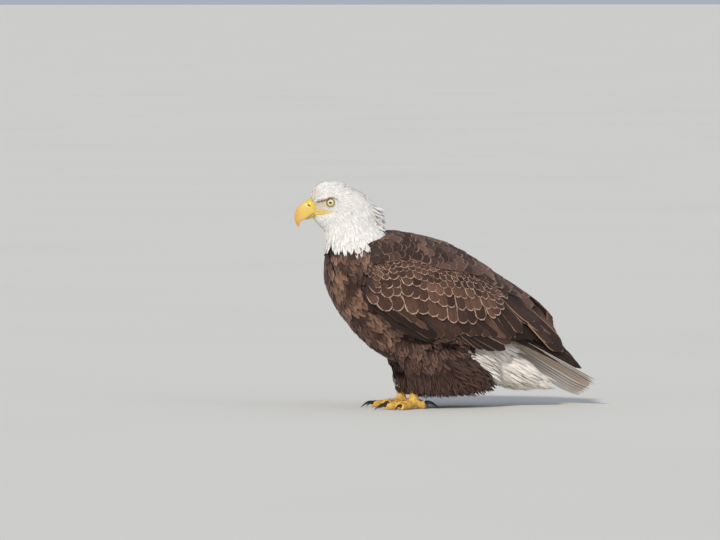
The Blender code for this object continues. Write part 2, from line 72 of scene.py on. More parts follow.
def turned(points, angle, aboutX=headPose["axisX"]):
    x, y, z = np.moveaxis(np.asarray(points, float), -1, 0)
    x = x - aboutX
    along = aboutX + x * math.cos(angle) - y * math.sin(angle)
    return np.stack([along, x * math.sin(angle) + y * math.cos(angle), z], axis=-1)


def toHead(points):
    return turned(points, headPose["turn"])


def headPlace(points):
    return place(turned(points, -headPose["turn"]))


def headUnplace(points):
    return toHead(unplace(points))


def headDirection(directions):
    return turned(directions, -headPose["turn"], 0.0)


def ease(values, low, high):
    t = np.clip((np.asarray(values, float) - low) / (high - low), 0.0, 1.0)
    return t * t * (3 - 2 * t)


def unit(vectors):
    return vectors / np.maximum(np.linalg.norm(vectors, axis=-1, keepdims=True), 1e-12)


def distanceFrom(points, spot):
    return np.linalg.norm(points - spot, axis=1)


def curveThrough(points, shares):
    points = np.asarray(points, float)
    steps = np.linalg.norm(np.diff(points, axis=0), axis=1)
    along = np.concatenate([[0], np.cumsum(steps)]) / steps.sum()
    slopes = np.gradient(points, along, axis=0)
    shares = np.clip(np.asarray(shares, float), 0.0, 1.0)
    k = np.clip(np.searchsorted(along, shares, side="right") - 1, 0, len(points) - 2)
    span = (along[k + 1] - along[k])[:, None]
    t = ((shares - along[k])[:, None]) / span
    start, end = points[k], points[k + 1]
    first = (2 * t**3 - 3 * t**2 + 1) * start + (t**3 - 2 * t**2 + t) * span * slopes[k]
    return first + (3 * t**2 - 2 * t**3) * end + (t**3 - t**2) * span * slopes[k + 1]


def curveLength(points):
    read = curveThrough(points, np.linspace(0, 1, 60))
    return np.linalg.norm(np.diff(read, axis=0), axis=1).sum()


def deselect():
    if bpy.context.mode != "OBJECT":
        bpy.ops.object.mode_set(mode="OBJECT")
    bpy.ops.object.select_all(action="DESELECT")


def activate(piece):
    deselect()
    piece.select_set(True)
    bpy.context.view_layer.objects.active = piece
    return piece


def edited(piece, *steps):
    activate(piece)
    bpy.ops.object.mode_set(mode="EDIT")
    bpy.ops.mesh.select_all(action="SELECT")
    for step in steps:
        step()
    bpy.ops.object.mode_set(mode="OBJECT")
    return piece


def weld(gap=0.00001):
    bpy.ops.mesh.remove_doubles(threshold=gap)


def faceOutward():
    bpy.ops.mesh.normals_make_consistent(inside=False)


def applyModifiers(piece):
    activate(piece)
    for modifier in list(piece.modifiers):
        bpy.ops.object.modifier_apply(modifier=modifier.name)
    return piece


def added(name, data):
    made = bpy.data.objects.new(name, data)
    bpy.context.scene.collection.objects.link(made)
    return made


def read(source, key, count, kind=np.float64):
    found = np.empty(count, kind)
    source.foreach_get(key, found)
    return found


def store(target, key, values, kind=np.float32):
    target.foreach_set(key, np.asarray(values, kind).ravel())


def coordsOf(piece):
    return read(piece.data.vertices, "co", len(piece.data.vertices) * 3).reshape(-1, 3)


def normalsOf(piece):
    return read(piece.data.vertex_normals, "vector", len(piece.data.vertices) * 3).reshape(-1, 3)


def setCoords(piece, coords):
    store(piece.data.vertices, "co", coords, float)
    piece.data.update()


def setVectors(piece, label, values):
    store(piece.data.attributes.new(label, "FLOAT_VECTOR", "POINT").data, "vector", values)


def joined(pieces, name):
    deselect()
    for piece in pieces:
        piece.select_set(True)
    bpy.context.view_layer.objects.active = pieces[0]
    if len(pieces) > 1:
        bpy.ops.object.join()
    made = bpy.context.view_layer.objects.active
    made.name = made.data.name = name
    return made


rimAngle = math.radians(50.0)  # a vane's rim stays sharp, so that its face is lit as one


def finishPiece(piece, material, replaced=()):
    piece.data.materials.append(material)
    if "rim" in piece.data.attributes:
        activate(piece)
        bpy.ops.object.shade_smooth_by_angle(angle=rimAngle)
    else:
        piece.data.shade_smooth()
    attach(piece, "root")
    if replaced:
        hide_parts(*replaced)


def newMaterial(name):
    made = bpy.data.materials.new(name)
    made.use_nodes = True
    return made, made.node_tree, made.node_tree.nodes["Principled BSDF"]


def newGroup(name, inputs, outputs):
    group = bpy.data.node_groups.new(name, "ShaderNodeTree")
    for way, sockets in (("INPUT", inputs), ("OUTPUT", outputs)):
        for label, kind in sockets.items():
            group.interface.new_socket(label, in_out=way, socket_type="NodeSocket" + kind)
    return group, group.nodes.new("NodeGroupInput"), group.nodes.new("NodeGroupOutput")


def feed(tree, node, inputs):
    for key, value in inputs.items():
        if isinstance(value, bpy.types.NodeSocket):
            tree.links.new(value, node.inputs[key])
        else:
            node.inputs[key].default_value = value


def addNode(tree, kind, inputs, **settings):
    made = tree.nodes.new("ShaderNode" + kind)
    for key, value in settings.items():
        setattr(made, key, value)
    feed(tree, made, inputs)
    return made


def mathNode(tree, operation, *values):
    return addNode(tree, "Math", dict(enumerate(values)), operation=operation).outputs[0]


def colour(red, green, blue):
    def linear(level):
        share = level / 255
        return share / 12.92 if share <= 0.04045 else ((share + 0.055) / 1.055) ** 2.4
    return (linear(red), linear(green), linear(blue), 1.0)


def mixNode(tree, share, *bodies):
    first, second = (colour(*body) if isinstance(body, tuple) else body for body in bodies)
    return addNode(tree, "Mix", {0: share, 6: first, 7: second}, data_type="RGBA").outputs[2]


def stepNode(tree, value, low, high, start=0.0, end=1.0):
    inputs = {0: value, 1: low, 2: high, 3: start, 4: end}
    return addNode(tree, "MapRange", inputs, interpolation_type="SMOOTHSTEP").outputs[0]


def noiseNode(tree, vector, scale, detail=4.0, roughness=0.5):
    inputs = {"Vector": vector, "Scale": scale, "Detail": detail, "Roughness": roughness}
    return addNode(tree, "TexNoise", inputs).outputs[0]


def reliefNode(tree, strength, distance, height):
    return addNode(tree, "Bump", {"Strength": strength, "Distance": distance, "Height": height}).outputs[0]


def stretchedNode(tree, vector, scale):
    return addNode(tree, "Mapping", {"Vector": vector, "Scale": scale}).outputs[0]


def pebblesNode(tree, vector, scale):
    inputs = {"Vector": vector, "Scale": scale}
    return addNode(tree, "TexVoronoi", inputs, feature="DISTANCE_TO_EDGE").outputs[0]


def whereNode(tree):
    return addNode(tree, "TexCoord", {}).outputs["Object"]


def maskParts(tree, label):
    mask = addNode(tree, "Attribute", {}, attribute_name=label).outputs["Vector"]
    return addNode(tree, "SeparateXYZ", {0: mask}).outputs


# A vane carries "rim", its distance in from the outline as a share of its half width, and
# "look": a chance value, how faded it is and how pale its border is; on the tail and the lowest
# undertail feathers the faded share is painted shade, on the far wing's tertials painted light.
# Its own map, "vane", runs across it and from root to tip.

patternLook = {
    # barbs slant towards the tip and are drawn by a noise that differs from vane to vane
    "slant": -0.16, "barbs": 38.0, "drift": 1.6, "apart": 57.0, "fadeAndPaintedLightStreak": 1.5, "wave": 0.1,
    "fadeAndPaintedLightFrom": (0.15, 0.7), "borderFrom": (0.2, 0.6), "borderSoft": (0.65, 1.5),
    "shaft": (0.015, 0.07, 0.55, 0.0), "ridge": (0.0, 0.1, 0.5, 0.0), "tone": (0.34, 0.83),
}


def buildVanePattern():
    look = patternLook
    inputs = {"Base": "Color", "FadedAndPaintedLight": "Color", "Border": "Color", "Border width": "Float",
              "Shaft": "Color", "Streak": "Float"}
    group, given, out = newGroup("vanePattern", inputs, {"Color": "Color", "Height": "Float"})

    def calc(operation, *values):
        return mathNode(group, operation, *values)

    vaneMap = addNode(group, "UVMap", {}, uv_map="vane").outputs[0]
    parts = addNode(group, "SeparateXYZ", {0: vaneMap}).outputs
    across = calc("ABSOLUTE", calc("MULTIPLY_ADD", parts[0], 2.0, -1.0))
    chance, fadedAndPaintedLight, paled = maskParts(group, "look")
    rim = addNode(group, "Attribute", {}, attribute_name="rim").outputs["Fac"]
    slant = calc("MULTIPLY_ADD", across, look["slant"], parts[1])
    barb = {0: calc("MULTIPLY", slant, look["barbs"]), 1: calc("MULTIPLY", parts[0], look["drift"])}
    barb[2] = calc("MULTIPLY", chance, look["apart"])
    streak = noiseNode(group, addNode(group, "CombineXYZ", barb).outputs[0], 1.0, 3.0, 0.6)
    centred = calc("SUBTRACT", streak, 0.5)
    streakTone = calc("MULTIPLY", centred, given.outputs["Streak"])
    # mixes in the faded colour: real fading, painted shade on the tail and lowest undertail, painted light
    # on the far tertials
    fadeAndPaintedLightShare = calc("ADD", fadedAndPaintedLight, calc("MULTIPLY", streakTone, look["fadeAndPaintedLightStreak"]))
    fadeAndPaintedLightShare = calc("MULTIPLY", fadeAndPaintedLightShare, stepNode(group, parts[1], *look["fadeAndPaintedLightFrom"]))
    fadeAndPaintedLightShare = addNode(group, "Clamp", {0: fadeAndPaintedLightShare}).outputs[0]
    body = mixNode(group, fadeAndPaintedLightShare, given.outputs["Base"], given.outputs["FadedAndPaintedLight"])
    wavy = calc("MULTIPLY_ADD", centred, look["wave"], rim)
    outer, inner = (calc("MULTIPLY", given.outputs["Border width"], share) for share in look["borderSoft"])
    border = calc("MULTIPLY", stepNode(group, wavy, outer, inner, 1.0, 0.0), paled)
    border = calc("MULTIPLY", border, stepNode(group, parts[1], *look["borderFrom"]))
    edged = mixNode(group, border, body, given.outputs["Border"])
    shafted = mixNode(group, stepNode(group, across, *look["shaft"]), edged, given.outputs["Shaft"])
    tone = calc("ADD", calc("MULTIPLY_ADD", chance, *look["tone"]), streakTone)
    final = addNode(group, "VectorMath", {0: shafted, "Scale": tone}, operation="SCALE").outputs[0]
    height = calc("ADD", streak, stepNode(group, across, *look["ridge"]))
    feed(group, out, {"Color": final, "Height": height})
    return group


vanePattern = buildVanePattern()


def vaneMaterial(name, base, fadedAndPaintedLight, border, borderWidth, shaft, streak, roughness, sheen,
                 bump=0.25, soft=0.0):
    made, tree, shader = newMaterial(name)
    values = {"Base": colour(*base), "FadedAndPaintedLight": colour(*fadedAndPaintedLight), "Border": colour(*border)}
    values.update({"Border width": borderWidth, "Shaft": colour(*shaft), "Streak": streak})
    pattern = addNode(tree, "Group", values, node_tree=vanePattern).outputs
    relief = reliefNode(tree, bump, 0.0006, pattern["Height"])
    feed(tree, shader, {"Base Color": pattern["Color"], "Normal": relief, "Roughness": roughness,
                        "Sheen Weight": sheen, "Sheen Roughness": 0.5, "Specular IOR Level": 0.2})
    if soft:
        feed(tree, shader, {"Subsurface Weight": soft, "Subsurface Radius": (0.004, 0.003, 0.0025)})
    return made


# For each kind of feather: its colours at the middle, where faded and at the border, the
# border's width, the shaft's colour, how streaky, rough and downy it is, relief and softness

materials = {
    kind: vaneMaterial(kind + "Feathers", *values) for kind, values in {
        "head": ((233, 229, 224), (212, 190, 176), (236, 233, 230), 0.3, (228, 222, 216),
                 0.06, 0.7, 0.15, 0.1, 0.3),
        "breast": ((54, 37, 33), (128, 95, 78), (144, 112, 94), 0.72, (44, 30, 26), 0.46, 0.75, 0.08),
        "mantle": ((58, 41, 37), (116, 87, 74), (146, 116, 99), 0.2, (48, 35, 32), 0.26, 0.68, 0.06),
        "wing": ((58, 39, 34), (122, 88, 72), (201, 167, 143), 0.14, (50, 35, 31), 0.26, 0.66, 0.04),
        "flight": ((43, 30, 27), (108, 78, 62), (176, 144, 120), 0.1, (36, 27, 25), 0.2, 0.6, 0.03),
        "trouser": ((54, 37, 33), (88, 63, 54), (122, 93, 79), 0.62, (46, 33, 29), 0.4, 0.8, 0.08),
        # undertail: its beige where faded is painted shade on the lowest feathers
        "undertail": ((236, 227, 217), (208, 190, 172), (242, 236, 229), 0.3, (226, 215, 203),
                      0.1, 0.75, 0.12, 0.12, 0.1),
        # tail: the beige where faded is painted shade on the middle feathers of the stack, the near-white
        # border painted light on their edges
        "tail": ((232, 218, 203), (158, 132, 112), (254, 252, 249), 0.26, (238, 228, 214),
                 0.22, 0.65, 0.08, 0.2, 0.05),
    }.items()
}
print("feather materials made")


# The skin is one closed form made of the solids, and lies inside them by the coat's depth

coatDepth = {"head": 4.0, "neck": 7.0, "trunk": 7.0, "undertail": 13.0, "thigh": 11.0,
             "wing": 1.4, "shank": 0.7, "toe": 0.7}
skinLook = {
    "grow": 0.6, "wingScale": 0.955, "voxel": {"crown": 1.9, "body": 3.9, "feet": 1.6},
    "smooth": {"crown": 6, "body": 8, "feet": 5}, "seamPasses": 14, "layPasses": 12,
    # how far a solid's depth reaches, and how strongly wings and feet hold their own
    "reach": 6.0, "wingPull": 3.0, "footReach": 2.5, "footPull": 40.0,
    # the coat thins towards the face
    "face": (-196.0, 0.0, 424.0), "faceRange": (26.0, 62.0), "faceThin": 0.75,
}
browLook = {"centre": (-180.0, 26.5, 444.5), "halves": (25.0, 9.0, 5.0), "tilt": 12.0, "lean": 13.0}


def fleshCopy(name):
    piece = edited(added(name + "Flesh", nodes[name].data.copy()), weld)
    piece.data.materials.clear()
    return piece


def fatCopies(names):
    pieces = [fleshCopy(name) for name in names]
    for piece in pieces:
        setCoords(piece, coordsOf(piece) + normalsOf(piece) * skinLook["grow"] * mm)
    return pieces


def treeOf(names):
    points, faces = [], []
    for name in names:
        mesh = nodes[name].data
        start = len(points)
        points += [v.co.copy() for v in mesh.vertices]
        faces += [[start + k for k in face.vertices] for face in mesh.polygons]
    return BVHTree.FromPolygons(points, faces)


def fused(pieces, name, voxel, passes):
    made = joined(pieces, name)
    remesh = made.modifiers.new("Fuse", "REMESH")
    remesh.mode = "VOXEL"
    remesh.voxel_size = voxel * mm
    relax = made.modifiers.new("Relax", "SMOOTH")
    relax.factor = 0.5
    relax.iterations = passes
    return applyModifiers(made)


def spinAbout(axes, degrees):
    matrix = np.eye(3)
    c, s = math.cos(math.radians(degrees)), math.sin(math.radians(degrees))
    matrix[np.ix_(axes, axes)] = ((c, s), (-s, c))
    return matrix


def browForm(side):
    deselect()
    bpy.ops.mesh.primitive_uv_sphere_add(segments=24, ring_count=14, radius=1)
    made = bpy.context.object
    points = coordsOf(made) * browLook["halves"] @ spinAbout((0, 2), browLook["tilt"])
    x, y, z = browLook["centre"]
    setCoords(made, points @ spinAbout((0, 1), side * browLook["lean"]) + (x, side * y, z))
    setCoords(made, headPlace(coordsOf(made)))
    return edited(made, faceOutward)


def buildSkin():
    parts = {"crown": fatCopies(["head", "neck"]) + [browForm(side) for side in sides.values()],
             "body": fatCopies(["trunk", "undertail", "thigh_left", "thigh_right"])}
    for side in sides:
        wing = fleshCopy("wing_" + side)
        middle = middleOf("wing_" + side)
        keep = np.array((skinLook["wingScale"], 1.0, skinLook["wingScale"]))
        setCoords(wing, (coordsOf(wing) - middle) * keep + middle)
        parts["body"].append(wing)
    parts["feet"] = [fleshCopy("shank_" + side) for side in sides]
    parts["feet"] += fatCopies([f"toe_{kind}_{side}" for kind in toeKinds for side in sides])
    made = {key: fused(pieces, key, skinLook["voxel"][key], skinLook["smooth"][key])
            for key, pieces in parts.items()}
    body = made["body"]
    for other in (made["crown"], made["feet"]):
        union = body.modifiers.new("Union", "BOOLEAN")
        union.operation = "UNION"
        union.solver = "EXACT"
        union.object = other
        applyModifiers(body)
        bpy.data.objects.remove(other)
    body.name = body.data.name = "skin"
    return body


nodeGroups = {
    "head": ["head"], "neck": ["neck"], "trunk": ["trunk"], "undertail": ["undertail"],
    "thigh": ["thigh_left", "thigh_right"], "wing": ["wing_left", "wing_right"],
    "shank": ["shank_left", "shank_right"],
    "toe": [f"toe_{kind}_{side}" for kind in toeKinds for side in sides],
}


def sinkSkin(skin):
    look = skinLook
    points, normals = coordsOf(skin), normalsOf(skin)
    depth, total, shares = np.zeros(len(points)), np.zeros(len(points)), {}
    for group, value in coatDepth.items():
        tree = treeOf(nodeGroups[group])
        near = np.array([tree.find_nearest(Vector(p))[3] for p in points])
        weight = np.exp(-((near / (look["reach"] * mm)) ** 2)) + 1e-9
        if group == "wing":
            weight *= look["wingPull"]
        if group in ("shank", "toe"):
            weight = np.where(near < look["footReach"] * mm, look["footPull"], 1e-9)
        depth += weight * value
        total += weight
        shares[group] = weight
    depth /= total
    face = 1 - ease(distanceFrom(headUnplace(points), look["face"]), *look["faceRange"])
    depth *= 1 - look["faceThin"] * face
    setCoords(skin, points - normals * (depth[:, None] + look["grow"]) * mm)
    shares = {key: value / total for key, value in shares.items()}
    relaxSeam(skin, 4 * shares["neck"] * (shares["trunk"] + shares["head"]))
    return shares


# Where two forms were united the skin is evened out, so that no crease shows

def relaxSeam(piece, weight):
    edges = read(piece.data.edges, "vertices", len(piece.data.edges) * 2, np.int32)
    a, b = edges.reshape(-1, 2).T
    points = coordsOf(piece)
    count = np.maximum(np.bincount(edges, minlength=len(points)), 1)[:, None]
    share = np.clip(weight * 6, 0, 1)[:, None] * 0.6
    for _ in range(skinLook["seamPasses"]):
        total = np.zeros_like(points)
        np.add.at(total, a, points[b])
        np.add.at(total, b, points[a])
        points = points + (total / count - points) * share
    setCoords(piece, points)


skin = buildSkin()
print("skin fused:", len(skin.data.polygons), "faces")
skinShares = sinkSkin(skin)
print("skin sunk under the coat")


# A vane is a thin closed lens, drawn once for each kind of feather: its grid, how its columns
# and rows are spread, its outline's half width along it, and how round its tip is

def vaneForm(look):
    deselect()
    columns, rows = look["columns"], len(look["stations"]) - 1
    bpy.ops.mesh.primitive_grid_add(x_subdivisions=columns, y_subdivisions=rows, size=2)
    piece = bpy.context.object
    edited(piece, bpy.ops.mesh.duplicate, bpy.ops.mesh.flip_normals,
           lambda: bpy.ops.transform.translate(value=(0, 0, -1)))
    points = coordsOf(piece)
    across, along = points[:, 0], (points[:, 1] + 1) / 2
    a = np.sign(across) * np.interp(np.abs(across), look["acrossFrom"], look["acrossTo"])
    v = np.interp(along, np.linspace(0, 1, len(look["stations"])), look["stations"])
    half = np.interp(v, look["outlineAt"], look["outline"])
    onRim = (np.abs(np.abs(across) - 1) < 1e-4) | (np.abs(points[:, 1]) > 1 - 1e-4)
    bowed = v - look["round"] * a**2 * ease(v, 0.35, 1.0)
    rim = np.where(onRim, 0.0, np.minimum((1 - np.abs(a)) * half, (1 - v) * look["aspect"] * 2))
    setCoords(piece, np.stack([a * half, bowed, np.where(onRim, -0.5, points[:, 2])], axis=1))
    store(piece.data.attributes.new("rim", "FLOAT", "POINT").data, "value", rim)
    edited(piece, lambda: weld(0.0001))
    mesh = piece.data
    found = coordsOf(piece)
    rim = read(mesh.attributes["rim"].data, "value", len(found), np.float32)
    reach = np.interp(found[:, 1], look["outlineAt"], look["outline"])
    barb = np.rint((np.clip(found[:, 0] / reach, -1, 1) + 1) * columns).astype(int)
    form = {"points": found, "rim": rim, "barb": barb, "faces": [list(p.vertices) for p in mesh.polygons]}
    bpy.data.objects.remove(piece)
    return form


broadLook = {
    "columns": 10, "aspect": 1.7, "round": 0.13,
    "acrossFrom": (0, 0.2, 0.4, 0.6, 0.8, 1), "acrossTo": (0, 0.28, 0.53, 0.75, 0.91, 1),
    "stations": (0, 0.25, 0.5, 0.7, 0.84, 0.94, 1.0),
    "outlineAt": (0, 0.15, 0.35, 0.6, 0.8, 0.94, 1.0), "outline": (0.35, 0.72, 0.93, 1.0, 1.0, 0.91, 0.74),
}
spikeLook = {
    "columns": 2, "aspect": 3.5, "round": 0.05, "acrossFrom": (0, 1), "acrossTo": (0, 1),
    "stations": (0, 0.3, 0.6, 0.85, 1.0),
    "outlineAt": (0, 0.25, 0.55, 0.85, 1.0), "outline": (0.55, 1.0, 0.9, 0.5, 0.08),
}
lockLook = dict(spikeLook, stations=(0, 0.4, 0.78, 1.0), outline=(0.6, 1.0, 0.95, 0.62, 0.16), round=0.08)
longLook = {
    "columns": 8, "aspect": 4.5, "round": 0.06,
    "acrossFrom": (0, 0.25, 0.5, 0.75, 1), "acrossTo": (0, 0.34, 0.64, 0.86, 1),
    "stations": (0, 0.12, 0.28, 0.45, 0.6, 0.75, 0.87, 0.94, 0.975, 1.0),
    "outlineAt": (0, 0.08, 0.3, 0.6, 0.87, 0.95, 0.985, 1.0),
    "outline": (0.2, 0.55, 0.9, 1.0, 0.95, 0.78, 0.55, 0.35),
}
downyLook = {
    "columns": 8, "aspect": 1.6, "round": 0.2, "acrossFrom": (0, 1), "acrossTo": (0, 1),
    "stations": (0, 0.3, 0.58, 0.8, 0.93, 1.0),
    "outlineAt": (0, 0.2, 0.5, 0.75, 0.9, 1.0), "outline": (0.35, 0.8, 1.0, 0.97, 0.8, 0.52),
}
plateLook = {
    "columns": 4, "aspect": 0.8, "round": 0.1, "acrossFrom": (0, 0.5, 1), "acrossTo": (0, 0.72, 1),
    "stations": (0, 0.35, 0.68, 0.9, 1.0),
    "outlineAt": (0, 0.2, 0.55, 0.8, 0.94, 1.0), "outline": (0.8, 1.0, 1.0, 0.9, 0.7, 0.45),
}
broadVane, spikeVane, lockVane, longVane, downyVane, plateVane = (
    vaneForm(look) for look in (broadLook, spikeLook, lockLook, longLook, downyLook, plateLook))


def treeFrom(points, faces):
    return BVHTree.FromPolygons([Vector(p) for p in points], faces)


skinPoints, skinNormals = coordsOf(skin), normalsOf(skin)
skin.data.calc_loop_triangles()
triangles = skin.data.loop_triangles
skinFaces = read(triangles, "vertices", len(triangles) * 3, np.int32).reshape(-1, 3)
skinTree = treeFrom(skinPoints, skinFaces.tolist())


def smoothNormals(passes):
    ends = np.concatenate([skinFaces[:, [0, 1]], skinFaces[:, [1, 2]], skinFaces[:, [2, 0]]])
    count = np.maximum(np.bincount(ends.ravel(), minlength=len(skinPoints)), 1)[:, None]
    found = skinNormals.copy()
    for _ in range(passes):
        total = np.zeros_like(found)
        np.add.at(total, ends[:, 0], found[ends[:, 1]])
        np.add.at(total, ends[:, 1], found[ends[:, 0]])
        found = unit(found + total / count * 2)
    return found


layNormals = smoothNormals(skinLook["layPasses"])


def onSkin(points):
    found, normals = np.empty_like(points), np.empty_like(points)
    for k, point in enumerate(points):
        near, _, face, _ = skinTree.find_nearest(Vector(point))
        corners = skinFaces[face]
        gaps = np.linalg.norm(skinPoints[corners] - near, axis=1) + 1e-6
        shares = (1 / gaps) / (1 / gaps).sum()
        found[k], normals[k] = near, shares @ layNormals[corners]
    return found, unit(normals)


# Roots are scattered over the chosen part of the skin, no two nearer than the spacing there

scatterLook = {"triesPerPlace": 7, "mostTries": 60000}
cellsAround = list(itertools.product((-1, 0, 1), repeat=3))


def spacingAt(spacing, points):
    return spacing(unplace(points)) if callable(spacing) else np.full(len(points), spacing)


def scatter(chosen, spacing, seed):
    rng = np.random.default_rng(seed)
    corners = skinPoints[skinFaces]
    crossed = np.cross(corners[:, 1] - corners[:, 0], corners[:, 2] - corners[:, 0])
    area = np.linalg.norm(crossed, axis=1) / 2
    centres = corners.mean(axis=1)
    area = np.where(chosen(unplace(centres), skinNormals[skinFaces].mean(axis=1), skinFaces), area, 0.0)
    weight = area / (spacingAt(spacing, centres) * mm) ** 2
    tries = int(min(scatterLook["triesPerPlace"] * weight.sum(), scatterLook["mostTries"]))
    picked = rng.choice(len(skinFaces), size=tries, p=weight / weight.sum())
    r1, r2 = np.sqrt(rng.random(tries)), rng.random(tries)
    shares = np.stack([1 - r1, r1 * (1 - r2), r1 * r2], axis=1)
    points = (corners[picked] * shares[:, :, None]).sum(axis=1)
    normals = unit((layNormals[skinFaces[picked]] * shares[:, :, None]).sum(axis=1))
    gap = spacingAt(spacing, points) * mm
    keys = np.floor(points / gap.max()).astype(int)
    taken, kept = {}, []
    for k in range(tries):
        x, y, z = keys[k]
        near = (other for dx, dy, dz in cellsAround for other in taken.get((x + dx, y + dy, z + dz), ()))
        if all(((points[k] - points[other]) ** 2).sum() >= gap[k] ** 2 for other in near):
            taken.setdefault((x, y, z), []).append(k)
            kept.append(k)
    return points[kept], normals[kept]


def alongSurface(flow, normals):
    return unit(flow - (flow * normals).sum(axis=1, keepdims=True) * normals)


# Feathers point away from the bill on the head, down the neck and rearwards along the body

flowLook = {
    "billBase": (-206.0, 0.0, 424.0), "back": (-170.0, -70.0, 0.9), "low": (395.0, 440.0, 0.5),
    "neck": (0.30, 0.0, -1.0), "trunk": (0.75, 0.0, -0.65),
    # heights over which the head's flow gives way to the neck's, and the slanting base of the neck
    "headFrom": (372.0, 402.0), "neckLine": (345.0, 0.25, 110.0), "neckFrom": (-35.0, 10.0),
}


def layAlong(points, normals):
    look = flowLook
    mmPoints = unplace(points)
    local = toHead(mmPoints)
    start, end, backPull = look["back"]
    bottom, top, lowPull = look["low"]
    back = ease(local[:, 0], start, end)[:, None]
    low = (1 - ease(local[:, 2], bottom, top))[:, None]
    fall = np.array((0.0, 0.0, -1.0)) * (backPull * back + lowPull * low)
    head = headDirection(unit(unit(local - look["billBase"]) + fall))
    high, slope, fromX = look["neckLine"]
    neckLine = mmPoints[:, 2] - high - slope * (mmPoints[:, 0] + fromX)
    headShare = ease(mmPoints[:, 2], *look["headFrom"])[:, None]
    neckShare = ease(neckLine, *look["neckFrom"])[:, None]
    flow = np.array(look["trunk"]) * (1 - neckShare) + np.array(look["neck"]) * neckShare
    return alongSurface(flow * (1 - headShare) + head * headShare, normals)


# The map for baking: each feather has a small patch at its root's place on the unrolled skin

unwrapLook = {"keep": 0.06, "angle": math.radians(66), "margin": 0.004, "patch": 0.003}


def unwrapSkin():
    look = unwrapLook
    thin = added("unwrap", skin.data.copy())
    thin.modifiers.new("Thin", "DECIMATE").ratio = look["keep"]
    edited(applyModifiers(thin), lambda: bpy.ops.uv.smart_project(
        angle_limit=look["angle"], island_margin=look["margin"]))
    mesh = thin.data
    mesh.calc_loop_triangles()
    uvs = read(mesh.uv_layers.active.data, "uv", len(mesh.loops) * 2).reshape(-1, 2)
    points = coordsOf(thin)
    corners = np.array([t.vertices[:] for t in mesh.loop_triangles])
    cornerUvs = uvs[np.array([t.loops[:] for t in mesh.loop_triangles])]
    bpy.data.objects.remove(thin)
    tree = treeFrom(points, corners.tolist())
    return {"tree": tree, "points": points, "faces": corners, "uvs": cornerUvs}


unwrapped = unwrapSkin()


def bakePlaces(roots):
    found = np.empty((len(roots), 2))
    for k, root in enumerate(roots):
        near, _, face, _ = unwrapped["tree"].find_nearest(Vector(root))
        a, b, c = unwrapped["points"][unwrapped["faces"][face]]
        edges = np.stack([b - a, c - a], axis=1)
        s, t = np.linalg.lstsq(edges, np.array(near) - a, rcond=None)[0]
        uvA, uvB, uvC = unwrapped["uvs"][face]
        found[k] = uvA + s * (uvB - uvA) + t * (uvC - uvA)
    return np.clip(found, unwrapLook["patch"], 1 - unwrapLook["patch"])


# One coat piece: a form is laid along many spines of three points each. The look holds its form,
# material, slot, camber, thickness and how uneven its tips are. Height is that of root and tip.

plumageLook = {"lie": 1.3, "barbs": (-1, 0.6), "wornFrom": (0.6, 1.0)}


def plumage(name, look, spine, normals, width, looks, height, tilt=0.0, drape=None, replaced=()):
    form, ragged = look["form"], look.get("ragged", 0.0)
    spine, width = np.asarray(spine, float), np.asarray(width, float) * mm
    count = len(spine)
    x, v, h = form["points"].T
    w0, w1, w2 = (1 - v) * (1 - 2 * v), 4 * v * (1 - v), v * (2 * v - 1)
    line = (w0[None, :, None] * spine[:, None, 0] + w1[None, :, None] * spine[:, None, 1]
            + w2[None, :, None] * spine[:, None, 2])
    up = unit((1 - v)[None, :, None] * normals[:, None, 0] + v[None, :, None] * normals[:, None, 1])
    side = unit(np.cross(unit(spine[:, 2] - spine[:, 0])[:, None, :], up))
    low, high, tilts = (np.broadcast_to(np.asarray(value, float), (count,)) * mm
                        for value in (*height, tilt))
    rise = low[:, None] + (high - low)[:, None] * v[None, :] ** plumageLook["lie"]
    rise = rise + look["camber"] * width[:, None] * (1 - x**2)[None, :] + tilts[:, None] * x[None, :]
    rise = rise + (h * look["thick"] * mm)[None, :]
    points = line + side * (x[None, :] * width[:, None] / 2)[:, :, None] + up * rise[:, :, None]
    if ragged:
        rng = np.random.default_rng(count)
        barbs = rng.uniform(*plumageLook["barbs"], (count, form["barb"].max() + 1))[:, form["barb"]]
        worn = barbs * ragged * ease(v, *plumageLook["wornFrom"])
        points = points + (spine[:, 2] - spine[:, 1])[:, None, :] * worn[:, :, None]
    if drape:
        points = drape(points, rise)
    piece = vaneMesh(name, form, points, looks, bakePlaces(spine[:, 0]))
    finishPiece(piece, look["material"], replaced)
    print(name, count, "vanes,", len(piece.data.polygons), "faces")


def vaneMesh(name, form, points, looks, bakeAt):
    count, size = points.shape[:2]
    lengths = np.array([len(face) for face in form["faces"]])
    flat = np.concatenate([np.array(face) for face in form["faces"]])
    corners = (flat[None, :] + np.arange(count)[:, None] * size).ravel()
    starts = np.concatenate([[0], np.cumsum(np.tile(lengths, count))[:-1]])
    mesh = bpy.data.meshes.new(name)
    mesh.vertices.add(count * size)
    store(mesh.vertices, "co", points)
    mesh.loops.add(len(corners))
    store(mesh.loops, "vertex_index", corners, np.int32)
    mesh.polygons.add(len(starts))
    store(mesh.polygons, "loop_start", starts, np.int32)
    mesh.update(calc_edges=True)
    mesh.validate()
    x, v = form["points"][:, 0][flat], form["points"][:, 1][flat]
    across = np.stack([0.5 + 0.5 * x, np.clip(v, 0, 1)], axis=1)
    store(mesh.uv_layers.new(name="vane").data, "uv", np.tile(across, (count, 1)))
    patch = (across - 0.5) * unwrapLook["patch"]
    store(mesh.uv_layers.new(name="OFBake").data, "uv", bakeAt[:, None, :] + patch[None, :, :])
    store(mesh.attributes.new("rim", "FLOAT", "POINT").data, "value", np.tile(form["rim"], count))
    piece = added(name, mesh)
    setVectors(piece, "look", np.repeat(looks, size, axis=0))
    return piece


